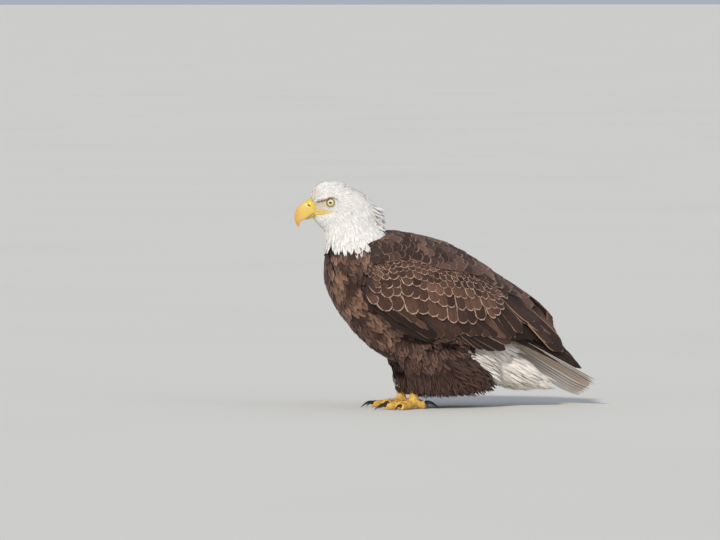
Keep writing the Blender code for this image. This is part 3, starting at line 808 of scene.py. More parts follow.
def looksFor(count, rng, fadedAndPaintedLight=0.0, paled=1.0):
    return np.stack([rng.random(count), np.broadcast_to(fadedAndPaintedLight, (count,)),
                     np.broadcast_to(paled, (count,))], axis=1)


def spinesOnSkin(roots, normals, lay, length):
    length = np.asarray(length, float)[:, None] * mm
    middle, middleNormals = onSkin(roots + lay * length / 2)
    onward = alongSurface(lay, middleNormals)
    tip, tipNormals = onSkin(middle + onward * length / 2)
    return np.stack([roots, middle, tip], axis=1), np.stack([normals, tipNormals], axis=1)


# Tips of a lock lean together towards one of them, so that the coat parts into points

clumpLook = {"fewer": 1.6, "middle": 0.3}


def clumped(spine, gap, share, rng):
    tips = spine[:, 2]
    spread = np.ptp(tips, axis=0)
    area = (spread[0] * spread[1] + spread[1] * spread[2] + spread[0] * spread[2]) * clumpLook["fewer"]
    count = int(np.clip(area / (gap * mm) ** 2, 2, len(tips)))
    locks = KDTree(count)
    for k in rng.choice(len(tips), count, replace=False):
        locks.insert(Vector(tips[k]), int(k))
    locks.balance()
    nearest = np.array([locks.find(Vector(tip))[1] for tip in tips])
    lean = (tips[nearest] - tips) * np.broadcast_to(share, (len(tips),))[:, None]
    spine[:, 2] += lean
    spine[:, 1] += lean * clumpLook["middle"]
    return spine


# A tract is a coat piece whose feathers all stand on the skin and follow it

tractLook = {"uneven": 0.15, "width": (0.88, 1.12), "tilt": (-0.5, 0.5)}


def tract(name, look, chosen):
    rng = np.random.default_rng(look["seed"])
    roots, normals = scatter(chosen, look["spacing"], look["seed"])
    lay = look["lay"](roots, normals)
    swing = np.radians(rng.normal(0, look["swing"], len(roots)))[:, None]
    lay = unit(lay * np.cos(swing) + np.cross(normals, lay) * np.sin(swing))
    mmRoots, size = unplace(roots), spacingAt(look["spacing"], roots)
    uneven = look.get("uneven", tractLook["uneven"])
    length = size * look["lengthPerGap"] * rng.uniform(1 - uneven, 1 + uneven, len(roots))
    if "longer" in look:
        length *= look["longer"](mmRoots, rng)
    width = size * look["widthPerGap"] * rng.uniform(*tractLook["width"], len(roots))
    spine, ends = spinesOnSkin(roots, normals, lay, length)
    if "clump" in look:
        gap, share = look["clump"]
        spine = clumped(spine, gap, share(mmRoots) if callable(share) else share, rng)
    fadedAndPaintedLight, paled = look["marks"](mmRoots, rng)
    looks = looksFor(len(roots), rng, fadedAndPaintedLight, paled)
    height = look["height"](mmRoots, rng) if callable(look["height"]) else look["height"]
    plumage(name, look, spine, ends, width, looks, height, rng.uniform(*tractLook["tilt"], len(roots)))


def patchNoise(points, scale, seed):
    offset = Vector((seed * 7.3, seed * 3.1, seed * 5.7))
    return np.array([noise.noise(Vector(p) * (1 / scale) + offset) for p in points])


def faceShare(faces, *groups):
    return sum(skinShares[group][faces].mean(axis=1) for group in groups)


ruffLook = {"height": 349.0, "rise": 55.0, "between": (-125.0, -50.0)}


def aboveRuff(points):
    return points[:, 2] - (ruffLook["height"] + ruffLook["rise"] * ease(points[:, 0], *ruffLook["between"]))


# Pieces of the face are set out in the head's own frame: x along the bill, z up, in
# millimetres. A spot on the cheek is found by looking straight in from that side.
# Over the eye socket it is read from the cheek beside it.

eyeLook = {
    "centre": (-170.5, 24.2, 433.0), "radius": 11.4, "iris": 7.1, "pupil": 2.85, "rim": 0.5, "bulge": 0.7,
    "forward": 13.0, "upward": 3.0, "segments": 48, "rings": 32, "socket": 15.0,
}
cheekLook = {"from": 90.0, "missed": 13.2}


def fromEye(x, z):
    return np.hypot(x - eyeLook["centre"][0], z - eyeLook["centre"][2])


def onCheek(x, z, side):
    eyeX, _, eyeZ = eyeLook["centre"]
    push = max(1.0, eyeLook["socket"] / max(fromEye(x, z), 0.1))
    start = headPlace((eyeX + (x - eyeX) * push, side * cheekLook["from"], eyeZ + (z - eyeZ) * push))
    spot, normal = skinTree.ray_cast(Vector(start), Vector(headDirection((0.0, -side, 0.0))))[:2]
    if spot is None:
        return headPlace((x, side * cheekLook["missed"], z)), headDirection((0.0, side, 0.0))
    return headPlace((x, headUnplace(np.array(spot))[1], z)), np.array(normal)


def lofted(name, spots):
    rings, around = spots.shape[:2]
    deselect()
    bpy.ops.mesh.primitive_grid_add(x_subdivisions=rings - 1, y_subdivisions=around, size=2)
    piece = bpy.context.object
    piece.name = piece.data.name = name
    at = coordsOf(piece)
    ring = np.rint((at[:, 0] + 1) / 2 * (rings - 1)).astype(int)
    turn = np.rint((at[:, 1] + 1) / 2 * around).astype(int) % around
    setCoords(piece, spots[ring, turn])
    return edited(piece, weld, faceOutward)


# The bill: top x and z, bottom x and z, and half width, from the base to the tip

billLook = {
    "upper": [
        (-198, 426, -198, 424, 0), (-204, 437, -200, 413, 13.4), (-214.5, 441, -208.5, 410.2, 14.6),
        (-227, 435.5, -215, 406.0, 13.6), (-237, 428, -221.5, 401.2, 11.6),
        (-244.5, 418, -227.5, 397.6, 9.4), (-248.5, 407.5, -232.5, 395.0, 7.4),
        (-248.2, 398, -236.2, 391.5, 5.2),
        (-245.4, 389, -238.2, 386.0, 3.0), (-239.8, 381, -239.6, 381, 0)],
    "lower": [
        (-193, 410, -193, 408, 0), (-199, 413.5, -197, 404.3, 12.8), (-208, 411.0, -206, 401.8, 13.0),
        (-217, 406, -215, 399.0, 11.4), (-224, 401.8, -223.5, 397.2, 8.2), (-230, 398.6, -230, 397.8, 0)],
    # share of the way down and share of the half width, from the culmen round to the palate
    "upperSection": [(0, 0), (0.02, 0.28), (0.10, 0.56), (0.27, 0.80), (0.52, 0.95), (0.78, 1.0),
                     (0.93, 0.97), (1.0, 0.90), (0.99, 0.80), (0.93, 0.5), (0.90, 0)],
    "lowerSection": [(0.08, 0), (0.05, 0.6), (0.0, 0.93), (0.12, 1.0), (0.45, 0.92), (0.78, 0.66),
                     (0.96, 0.32), (1, 0)],
    "rings": 74, "around": 36, "cereStep": 0.75, "cereSoft": (-0.7, 0.7),
    "cereEdge": ((411.6, 420, 429, 435, 441), (-199, -210, -219, -224, -227)),
    "biteLine": ((-221.5, -215, -208.5, -200), (401.2, 406.0, 410.2, 413)), "biteSoft": (-1.6, -0.4),
    "nostril": (-218.3, 427.0), "nostrilTurn": math.radians(-38.0), "nostrilHalves": (4.0, 1.35),
    "nostrilDepth": 3.0, "nostrilSoft": (0.55, 1.15), "nostrilsApart": 3,
    "paint": {"horn": (226, 188, 84), "tip": (214, 134, 38), "pale": (232, 208, 140),
              # inside: painted shade, the dark of the nostril and of the bite line
              "streak": (176, 112, 30), "inside": (58, 34, 20), "cere": (214, 172, 26),
              "paleCere": (228, 200, 66)},
}


def billForm(sections, profile):
    rows = curveThrough(sections, np.linspace(0, 1, billLook["rings"]))
    half = curveThrough(profile, np.linspace(0, 1, billLook["around"] + 1))
    down = np.concatenate([half[:, 0], half[-2:0:-1, 0]])
    out = np.concatenate([half[:, 1], -half[-2:0:-1, 1]])
    top, bottom = rows[:, None, 0:2], rows[:, None, 2:4]
    middle = top + (bottom - top) * down[None, :, None]
    y = np.maximum(rows[:, None, 4], 0) * out[None, :]
    return np.stack([middle[..., 0], y, middle[..., 1]], axis=-1)


def nostrilShare(points):
    x, z = points[:, 0] - billLook["nostril"][0], points[:, 2] - billLook["nostril"][1]
    a = billLook["nostrilTurn"]
    along = (x * math.cos(a) + z * math.sin(a)) / billLook["nostrilHalves"][0]
    across = (-x * math.sin(a) + z * math.cos(a)) / billLook["nostrilHalves"][1]
    return 1 - ease(np.sqrt(along**2 + across**2), *billLook["nostrilSoft"])


# Its mask "horn" says where the cere, the nostril or the bite, and the tip are. Nostril and
# bite are painted dark: painted shade in the nostril and in the gap between the mandibles

def billMaterial():
    made, tree, shader = newMaterial("billHorn")
    where, paint = whereNode(tree), billLook["paint"]
    cere, nostril, toTip = maskParts(tree, "horn")
    cloud = noiseNode(tree, where, 120.0)
    grain = noiseNode(tree, stretchedNode(tree, where, (1.0, 1.0, 0.25)), 900.0, 4.0, 0.6)
    body = mixNode(tree, toTip, paint["horn"], paint["tip"])
    body = mixNode(tree, mathNode(tree, "MULTIPLY", cloud, 0.45), body, paint["pale"])
    body = mixNode(tree, cere, body, mixNode(tree, cloud, paint["cere"], paint["paleCere"]))
    streak = mathNode(tree, "MULTIPLY", stepNode(tree, grain, 0.5, 0.75), 0.18)
    # painted shade: the nostril and the bite line are darkened to the inside colour
    body = mixNode(tree, nostril, mixNode(tree, streak, body, paint["streak"]), paint["inside"])
    rough = mathNode(tree, "MULTIPLY_ADD", grain, 0.1, mathNode(tree, "MULTIPLY_ADD", cere, 0.16, 0.3))
    height = mathNode(tree, "MULTIPLY_ADD", cloud, 0.6, mathNode(tree, "MULTIPLY", grain, 0.4))
    relief = reliefNode(tree, 0.3, 0.0005, height)
    feed(tree, shader, {"Base Color": body, "Roughness": rough, "Normal": relief, "Coat Weight": 0.3,
                        "Coat Roughness": 0.16, "Subsurface Weight": 0.12,
                        "Subsurface Radius": (0.004, 0.002, 0.0008)})
    return made


def buildBill():
    look, horn = billLook, billMaterial()
    upper = lofted("billUpper", billForm(look["upper"], look["upperSection"]))
    points, normals = coordsOf(upper), normalsOf(upper)
    cere = ease(points[:, 0] - np.interp(points[:, 2], *look["cereEdge"]), *look["cereSoft"])
    # the nostril is sunk and painted dark as shade
    slit = nostrilShare(points) * (np.abs(points[:, 1]) > look["nostrilsApart"])
    points = points + normals * (cere * look["cereStep"] - slit * look["nostrilDepth"])[:, None]
    setCoords(upper, headPlace(points))
    toTip = ease(-points[:, 0], 226, 246) * ease(-points[:, 2], -410, -384)
    toTip = np.maximum(toTip, ease(-points[:, 0], 228, 250) * 0.75)
    setVectors(upper, "horn", np.stack([cere, slit, toTip], axis=1))
    finishPiece(upper, horn, ["bill_upper"])
    lower = lofted("billLower", billForm(look["lower"], look["lowerSection"]))
    points = coordsOf(lower)
    setCoords(lower, headPlace(points))
    # painted shade: a dark strip along the lower mandible's top edge, in the gap under the upper
    biteShade = ease(points[:, 2] - np.interp(points[:, 0], *look["biteLine"]), *look["biteSoft"]) * 0.75
    base, toTip = ease(points[:, 0], -214, -202), ease(-points[:, 0], 212, 230) * 0.5
    setVectors(lower, "horn", np.stack([base, biteShade, toTip], axis=1))
    finishPiece(lower, horn, ["bill_lower"])


# Fleshy strips on the face: x, z, half height and how far they stand out of the cheek

stripLook = {
    "upperLip": [(-209, 416.6, 2.2, 0.9), (-203, 416.0, 3.0, 1.2), (-196, 415.3, 2.6, 1.2),
                 (-189, 415.0, 2.2, 1.1), (-181, 415.0, 1.9, 0.9), (-173, 415.0, 1.5, 0.7),
                 (-166.5, 414.3, 1.0, 0.3), (-162.5, 413.4, 0.5, -0.3)],
    "lowerLip": [(-207, 408.4, 2.8, 0.3), (-202, 409.0, 3.4, 0.9), (-196, 409.7, 3.0, 1.1),
                 (-189, 410.4, 2.6, 1.0), (-181, 411.2, 2.1, 0.9), (-173, 412.1, 1.6, 0.7),
                 (-167, 412.8, 1.0, 0.2), (-163, 413.0, 0.5, -0.3)],
    "brow": [(-207, 434.6, 0.7, 0.6), (-201, 434.6, 1.1, 1.6), (-194, 436.0, 1.3, 2.8),
             (-184, 439.2, 1.4, 4.0), (-175, 442.4, 1.4, 4.4), (-167, 443.2, 1.2, 3.6),
             (-160, 440.6, 1.0, 2.2), (-155.5, 436.6, 0.6, 0.5)],
    "rings": 34, "around": 14, "outward": 0.8, "lipDepth": 1.6, "browDepth": 2.4,
}


def faceStrip(name, path, side, deep):
    rows = curveThrough(path, np.linspace(0, 1, stripLook["rings"]))
    turn = np.arange(stripLook["around"]) / stripLook["around"] * 2 * math.pi
    closing = np.sqrt(np.clip(1 - np.abs(np.linspace(-1, 1, len(rows))) ** 10, 0, 1))
    centres, normals = (np.array(part) for part in zip(*[onCheek(x, z, side) for x, z, _, _ in rows]))
    out = unit(normals + headDirection((0.0, side * stripLook["outward"], 0.0)))
    up = unit(np.cross(unit(np.gradient(centres, axis=0)), out))
    up = up * np.sign(up[:, 2:3])
    high = (rows[:, 2] * closing)[:, None, None] * mm
    stand = ((rows[:, 3] + deep) * closing)[:, None, None] * mm
    spots = centres[:, None, :] + out[:, None, :] * (stand * np.cos(turn)[None, :, None] - deep * mm)
    return lofted(name, spots + up[:, None, :] * high * np.sin(turn)[None, :, None])


def lipMaterial(name, first, second, roughness=0.45):
    made, tree, shader = newMaterial(name)
    where = whereNode(tree)
    creases = noiseNode(tree, stretchedNode(tree, where, (2.5, 2.5, 0.6)), 420.0)
    body = mixNode(tree, noiseNode(tree, where, 180.0), first, second)
    feed(tree, shader, {"Base Color": body, "Normal": reliefNode(tree, 0.45, 0.0006, creases),
                        "Roughness": roughness, "Subsurface Weight": 0.15,
                        "Subsurface Radius": (0.003, 0.0015, 0.0006)})
    return made


def buildStrips():
    look = stripLook
    lips = [faceStrip("gape", look[key], side, look["lipDepth"])
            for key in ("upperLip", "lowerLip") for side in sides.values()]
    finishPiece(joined(lips, "gape"), lipMaterial("gapeSkin", (212, 176, 48), (230, 206, 96)))
    # The brow strips are painted brown: painted shade of the dark line under the brow ridge, above the eye
    brows = [faceStrip("brows", look["brow"], side, look["browDepth"]) for side in sides.values()]
    brown = lipMaterial("browPaintedShade", (96, 66, 46), (176, 128, 82), 0.6)
    finishPiece(joined(brows, "brows"), brown)


# Eyes: a ball with a slightly domed front, and the two lids as one soft ring

lidLook = {
    # distance from the eye's axis and height along it, from the opening round to the hidden back
    "section": [(0.0, 8.0), (-0.25, 9.2), (0.1, 10.1), (0.9, 10.5), (1.9, 10.35), (3.2, 9.75), (4.8, 8.9),
                (6.4, 7.4), (6.4, 5.4), (3.2, 5.6), (0.9, 6.8)],
    # opening at eight places round the eye, from the front corner up and over
    "opening": (7.9, 7.3, 6.6, 7.0, 7.6, 7.3, 7.2, 7.5), "around": 64, "across": 30,
    # rows of fine feathers: distance from the eye's axis and how many stand round it
    "feathers": ((10.1, 60), (11.3, 60), (12.5, 64)), "featherLength": 5.0, "mean": 7.2,
    "width": (1.6, 2.6), "fadedAndPaintedLight": (0.1, 0.5), "paled": 0.8,
    "vanes": {"form": lockVane, "material": materials["head"], "slot": "head_plumage", "camber": 0.06,
              "thick": 0.2},
}


def eyeFrame(side):
    forward, upward = math.radians(eyeLook["forward"]), math.radians(eyeLook["upward"])
    axis = (-math.sin(forward), side * math.cos(forward) * math.cos(upward), math.sin(upward))
    axis = unit(np.array(axis))
    front = unit(np.array((-1.0, 0.0, 0.0)) + axis * axis[0])
    return axis, front, np.cross(front, axis) * (1 if side < 0 else -1)


def eyeCentre(side):
    return np.array(eyeLook["centre"]) * (1, side, 1)


def eyeMaterial():
    made, tree, shader = newMaterial("eyeGlass")
    iris, pupil = eyeLook["iris"], eyeLook["pupil"]
    radius, cosine, sine = maskParts(tree, "gaze")
    turn = {0: cosine, 1: sine, 2: mathNode(tree, "MULTIPLY", radius, 0.06)}
    fibres = noiseNode(tree, addNode(tree, "CombineXYZ", turn).outputs[0], 7.0, 4.0, 0.6)
    body = mixNode(tree, fibres, (208, 192, 134), (250, 244, 210))
    for share, tone in (
            (stepNode(tree, radius, pupil, pupil + 1.2, 0.5, 0.0), (150, 118, 60)),
            (stepNode(tree, radius, iris - eyeLook["rim"], iris - 0.1), (78, 64, 46)),
            (stepNode(tree, radius, pupil - 0.15, pupil + 0.15, 1.0, 0.0), (8, 7, 7))):
        body = mixNode(tree, share, body, tone)
    feed(tree, shader, {"Base Color": body, "Normal": reliefNode(tree, 0.12, 0.0003, fibres),
                        "Roughness": 0.22, "Coat Weight": 1.0, "Coat Roughness": 0.03})
    return made


def buildEye(side, glass):
    look = eyeLook
    deselect()
    bpy.ops.mesh.primitive_uv_sphere_add(
        segments=look["segments"], ring_count=look["rings"], radius=look["radius"])
    ball = bpy.context.object
    points = coordsOf(ball)
    reach = np.linalg.norm(points[:, :2], axis=1)
    facing = points[:, 2] > 0
    points[:, 2] += look["bulge"] * np.where(facing, 1 - ease(reach, 0.0, look["iris"] + 0.6), 0.0)
    turn = np.arctan2(points[:, 1], points[:, 0])
    axis, front, up = eyeFrame(sides[side])
    setCoords(ball, headPlace(eyeCentre(sides[side]) + points @ np.array((front, up, axis))))
    edited(ball, faceOutward)
    setVectors(ball, "gaze", np.stack([np.where(facing, reach, 99.0), np.cos(turn), np.sin(turn)], axis=1))
    ball.name = ball.data.name = "eyeball_" + side
    finishPiece(ball, glass, ["eye_" + side])


def lidRing(side):
    look = lidLook
    closed = look["section"] + look["section"][:1]
    section = curveThrough(closed, np.linspace(0, 1, look["across"] + 1))[:-1]
    turn = np.linspace(0, 2 * math.pi, look["around"] + 1)
    opening = np.interp(turn / (math.pi / 4), range(9), look["opening"] + look["opening"][:1])
    opening = np.convolve(np.concatenate([opening[-4:-1], opening, opening[1:4]]), np.ones(7) / 7, "valid")
    axis, front, up = eyeFrame(side)
    reach = opening[:, None] + section[None, :, 0]
    outward = np.cos(turn)[:, None, None] * front + np.sin(turn)[:, None, None] * up
    spots = eyeCentre(side) + outward * reach[..., None] + axis * section[None, :, 1, None]
    ring = lofted("lids", headPlace(spots))
    local = headUnplace(coordsOf(ring)) - eyeCentre(side)
    off = np.linalg.norm(local - (local @ axis)[:, None] * axis, axis=1)
    setVectors(ring, "lid", np.stack([ease(off, 8.9, 9.7), ease(local[:, 0], -12, 4), off], axis=1))
    return ring


def lidMaterial():
    made, tree, shader = newMaterial("lidSkin")
    where = whereNode(tree)
    outward, rearward, reach = maskParts(tree, "lid")
    threads = mathNode(tree, "MULTIPLY", noiseNode(tree, where, 260.0), 0.6)
    thread = mixNode(tree, threads, (206, 186, 116), (150, 122, 76))
    cheek = mixNode(tree, rearward, (214, 204, 172), (226, 221, 215))
    outer = mixNode(tree, stepNode(tree, reach, 10.0, 11.2), thread, cheek)
    body = mixNode(tree, outward, (134, 116, 84), outer)
    feed(tree, shader, {"Base Color": body, "Roughness": 0.5,
                        "Normal": reliefNode(tree, 0.5, 0.0004, pebblesNode(tree, where, 1300.0))})
    return made


def buildEyes():
    glass = eyeMaterial()
    for side in sides:
        buildEye(side, glass)
    finishPiece(joined([lidRing(side) for side in sides.values()], "lids"), lidMaterial())


# Fine feathers on the outer half of the lids, pointing away from the eye and backwards

def lidFeathers():
    rng = np.random.default_rng(15)
    spines, ends = [], []
    heights = np.array(lidLook["section"][3:8])
    for sign in sides.values():
        axis, front, up = eyeFrame(sign)
        for reach, count in lidLook["feathers"]:
            turn = (np.arange(count) + rng.uniform(-0.3, 0.3, count)) / count * 2 * math.pi
            turn = turn[(np.sin(turn) < 0.72) | (np.cos(turn) < 0)]
            ahead = np.cos(turn)[:, None] * front + np.sin(turn)[:, None] * up
            flow = unit(ahead + 0.75 * np.array((1.0, 0.0, -0.12)))
            spots = []
            for step in (0.0, 0.5, 1.0):
                at = ahead * reach + flow * step * lidLook["featherLength"]
                off = np.linalg.norm(at, axis=1) - lidLook["mean"]
                high = np.interp(off, heights[:, 0], heights[:, 1]) + 0.1 + 0.5 * step
                spots.append(headPlace(eyeCentre(sign) + at + axis * high[:, None]))
            spines.append(np.stack(spots, axis=1))
            ends.append(np.stack([headDirection(unit(axis + ahead * 0.3))] * 2, axis=1))
    spine, normals = np.concatenate(spines), np.concatenate(ends)
    count = len(spine)
    looks = looksFor(count, rng, rng.uniform(*lidLook["fadedAndPaintedLight"], count), lidLook["paled"])
    plumage("lidFeathers", lidLook["vanes"], spine, normals, rng.uniform(*lidLook["width"], count), looks,
            (0.0, 0.3))


buildBill()
buildEyes()
buildStrips()
lidFeathers()
print("bill, eyes and lids built")


# The head's coat: fine round the face, longer towards the ruff, bare where skin shows

faceLook = {
    "middle": (-202.0, 0.0, 424.0), "forehead": (-203.0, 0.0, 444.0), "chin": (-190.0, 0.0, 398.0),
    "eye": 10.0, "browBand": (0.4, 1.2), "browEnd": -154, "lores": (-180, 417.5), "aside": 9,
    "gape": (-162.0, 408.5, 418.5), "gapeNarrow": (2.0, 176.0, 200.0),
    # bristles of the lores: rearmost x, distance from the eye, gap below the brow, lowest z
    "bristles": (-179, 13.5, 1.5, 419.0), "hackles": (0.55, 130.0, 404.0),
}


def fromFace(points):
    return distanceFrom(toHead(points), faceLook["middle"])


def browLine(x):
    return np.interp(x, *np.array(stripLook["brow"])[:, :2].T)


def headSpacing(points):
    return 1.15 + 0.55 * ease(fromFace(points), 14.0, 60.0) + 0.8 * ease(-points[:, 2], -425.0, -365.0)


def bareFace(points):
    look = faceLook
    x, y, z = toHead(points).T
    offset, half = look["browBand"]
    ridge = (np.abs(z - browLine(x) + offset) < half) & (x < look["browEnd"])
    lores = (x < look["lores"][0]) & (z < browLine(x)) & (z > look["lores"][1])
    rearmost, bottom, top = look["gape"]
    narrow, start, end = look["gapeNarrow"]
    gape = (x < rearmost) & (z > bottom - narrow * ease(-x, start, end)) & (z < top)
    return ((fromEye(x, z) < look["eye"]) | ridge | lores | gape) & (np.abs(y) > look["aside"])


def onLores(points):
    x, y, z = toHead(points).T
    rearmost, eye, below, lowest = faceLook["bristles"]
    inside = (x < rearmost) & (fromEye(x, z) > eye) & (z < browLine(x) - below) & (z > lowest)
    return inside & (np.abs(y) > faceLook["aside"])


def isHackle(points):
    local = toHead(points)
    slope, fromX, line = faceLook["hackles"]
    return local[:, 2] - slope * (local[:, 0] + fromX) < line


def onHead(faces):
    return faceShare(faces, "head", "neck", "trunk") > 0.5


def headShade(points, rng):
    local = toHead(points)
    forehead = 1 - ease(distanceFrom(local, faceLook["forehead"]), 8.0, 30.0)
    forehead = ease(local[:, 2], 430.0, 440.0) * forehead
    chin = (1 - ease(distanceFrom(local, faceLook["chin"]), 8.0, 26.0)) * 0.6
    return np.clip(np.maximum(forehead, chin) + rng.uniform(-0.15, 0.2, len(points)), 0, 1), 0.8


# Heights of root and tip; on the crown and on the nape some locks stand higher

def faceHeight(points, rng):
    away = fromFace(points)
    high = 0.9 + 1.9 * ease(away, 16, 70) + rng.uniform(-0.1, 0.2, len(points))
    high = high + 1.8 * ease(patchNoise(points, 6.0, 15), 0.2, 0.5) * ease(points[:, 2], 438, 460)
    return 0.5 + 1.2 * ease(away, 20, 70), high


def hackleHeight(points, rng):
    down = -points[:, 2]
    high = 3.6 + 2.4 * ease(down, -400, -350) + rng.uniform(-0.3, 0.5, len(points))
    high = high + 4.0 * ease(patchNoise(points, 9.0, 14), 0.1, 0.5) * ease(points[:, 0], -116, -88)
    return 1.5 + 1.2 * ease(down, -400, -360), high


faceTract = {
    "form": lockVane, "material": materials["head"], "slot": "head_plumage", "seed": 11, "lay": layAlong,
    "spacing": headSpacing, "lengthPerGap": 5.4, "widthPerGap": 1.6, "height": faceHeight,
    "marks": headShade, "swing": 6, "camber": 0.05, "thick": 0.16, "uneven": 0.25, "clump": (6.5, 0.22),
}
hackleTract = dict(
    faceTract, form=spikeVane, seed=12, lengthPerGap=8.4, widthPerGap=1.7, uneven=0.3, camber=0.08,
    longer=lambda p, rng: 1 + 0.45 * (1 - ease(aboveRuff(p), 0.0, 26.0)) * rng.random(len(p)),
    height=hackleHeight, clump=(13.0, lambda p: 0.35 + 0.4 * (1 - ease(aboveRuff(p), 4.0, 30.0))))
loreTract = dict(
    faceTract, seed=13, spacing=1.7, lengthPerGap=2.9, widthPerGap=0.8, height=(0.1, 0.7), swing=14,
    marks=lambda p, rng: (rng.uniform(0.5, 1.0, len(p)), 0.2))


def isCoated(points, faces):
    return (aboveRuff(points) > 0) & ~bareFace(points) & onHead(faces)


tract("hackleFeathers", hackleTract, lambda p, n, f: isCoated(p, f) & isHackle(p))
tract("loreBristles", loreTract, lambda p, n, f: onLores(p) & onHead(f))
tract("faceFeathers", faceTract, lambda p, n, f: isCoated(p, f) & ~isHackle(p))


# Breast and belly, with pale borders and faded patches that lie in clouds

bodyLook = {
    # gap between roots, how much less it is near the ruff and more towards the rear
    "gap": 8.4, "nearRuff": (0.0, 60.0, 2.4), "rear": (-150.0, -20.0, 0.8),
    # size of the clouds and of the smaller ones in them, and the chest, which fades most
    "clouds": (26.0, 11.0), "smaller": 0.5, "chest": (-150.0, -60.0, 0.15), "fadeAndPaintedLightShare": (0.0, 0.5),
    "pale": (-0.5, 0.4), "paleChance": (0.4, 1.0), "fadeChance": 0.15,
}


def bodySpacing(points):
    start, end, less = bodyLook["nearRuff"]
    front, rear, more = bodyLook["rear"]
    near = 1 - ease(np.abs(aboveRuff(points)), start, end)
    return bodyLook["gap"] - less * near + more * ease(points[:, 0], front, rear)


def breastMarks(points, rng):
    look, (large, small) = bodyLook, bodyLook["clouds"]
    blotch = patchNoise(points, large, 1) + look["smaller"] * patchNoise(points, small, 2)
    front, rear, least = look["chest"]
    chest = 1 - ease(points[:, 0], front, rear)
    fadedAndPaintedLight = ease(blotch, *look["fadeAndPaintedLightShare"]) * (least + (1 - least) * chest)
    paled = ease(blotch, *look["pale"]) * rng.uniform(*look["paleChance"], len(points))
    return fadedAndPaintedLight + rng.uniform(0, look["fadeChance"], len(points)), paled


bodyTract = {
    "form": downyVane, "material": materials["breast"], "slot": "body_plumage", "lay": layAlong,
    "spacing": bodySpacing, "lengthPerGap": 3.8, "widthPerGap": 2.0, "marks": breastMarks, "swing": 8,
    "height": lambda p, rng: (2.0, 4.6 + rng.uniform(-0.5, 0.8, len(p))),
    "camber": 0.06, "thick": 0.25, "ragged": 0.14, "clump": (17.0, 0.14),
}
for side, sign in sides.items():
    tract("bodyFeathers_" + side, dict(bodyTract, seed=21 + sign), lambda p, n, f: (
        (aboveRuff(p) < 12) & (faceShare(f, "trunk") > 0.3) & (p[:, 1] * sign > 0)))


# Behind this slanting line over the rear of the thigh the coat is the white one of the vent

ventLook = {"high": (98, 120), "low": (151, 65)}


def pastVent(points):
    (xHigh, zHigh), (xLow, zLow) = ventLook["high"], ventLook["low"]
    down, back = zHigh - zLow, xLow - xHigh
    slant = ((points[:, 0] - xHigh) * down + (points[:, 2] - zHigh) * back) / math.hypot(down, back)
    return np.minimum(slant, points[:, 0] - xHigh)


def isVent(points, faces):
    rearThigh = (faceShare(faces, "thigh") > 0.3) & (pastVent(points) > 0)
    return (faceShare(faces, "undertail") > 0.35) | rearThigh


def isTrouser(points, faces):
    thigh = (faceShare(faces, "thigh") > 0.3) & (faceShare(faces, "trunk") < 0.4)
    return thigh & (points[:, 2] > 36.0) & (pastVent(points) < 0)


def trouserMarks(points, rng):
    high = ease(points[:, 2], 60.0, 140.0)
    fadedAndPaintedLight = ease(patchNoise(points, 30.0, 4), 0.1, 0.6) * 0.6
    return fadedAndPaintedLight, rng.uniform(0.1, 1.0, len(points)) * (0.12 + 0.88 * high)


def hangAlong(points, normals):
    rear = ease(unplace(points)[:, 0], 20.0, 110.0)[:, None]
    flow = np.array((0.22, 0.0, -0.97)) * (1 - rear) + np.array((0.8, 0.0, -0.6)) * rear
    return alongSurface(flow + np.array((0.3, 0.0, 0.0)) * np.abs(normals[:, 2:3]), normals)


def ventHeight(points, rng):
    high = ease(points[:, 2], 98.0, 122.0)
    return 9.0 - 6.0 * high, 11.8 - 7.4 * high + rng.uniform(-0.8, 0.8, len(points))


trouserTract = dict(
    bodyTract, material=materials["trouser"], seed=31, lay=hangAlong, spacing=6.4, lengthPerGap=4.9,
    widthPerGap=1.8, height=lambda p, rng: (4.0, 7.6 + rng.uniform(-1.4, 1.4, len(p))), marks=trouserMarks,
    swing=12, ragged=0.3, clump=(20.0, 0.3), uneven=0.3,
    longer=lambda p, rng: 0.4 + 0.6 * ease(p[:, 2], 40.0, 75.0))
undertailTract = dict(
    bodyTract, material=materials["undertail"], slot="tail_plumage", seed=41, spacing=5.2, lengthPerGap=7.0,
    height=ventHeight, swing=4, camber=0.05, ragged=0.2, clump=(18.0, 0.3),
    # the lowest feathers are painted beige towards the bottom: painted shade under the body
    marks=lambda p, rng: (rng.uniform(0, 0.4, len(p)) * ease(-p[:, 2], -110, -60), 0.6),
    lay=lambda points, normals: alongSurface(np.array((0.88, 0.0, -0.47)) + 0 * points, normals))
tract("trouserFeathers", trouserTract, lambda p, n, f: isTrouser(p, f))
tract("undertailFeathers", undertailTract, lambda p, n, f: isVent(p, f))


# Loose fringes that hang free of the skin: from roots on it to tips in the air

fringeLook = {"sag": 0.1, "tipsApart": 9, "skyward": 0.15, "rearwardFrom": (20, 130)}


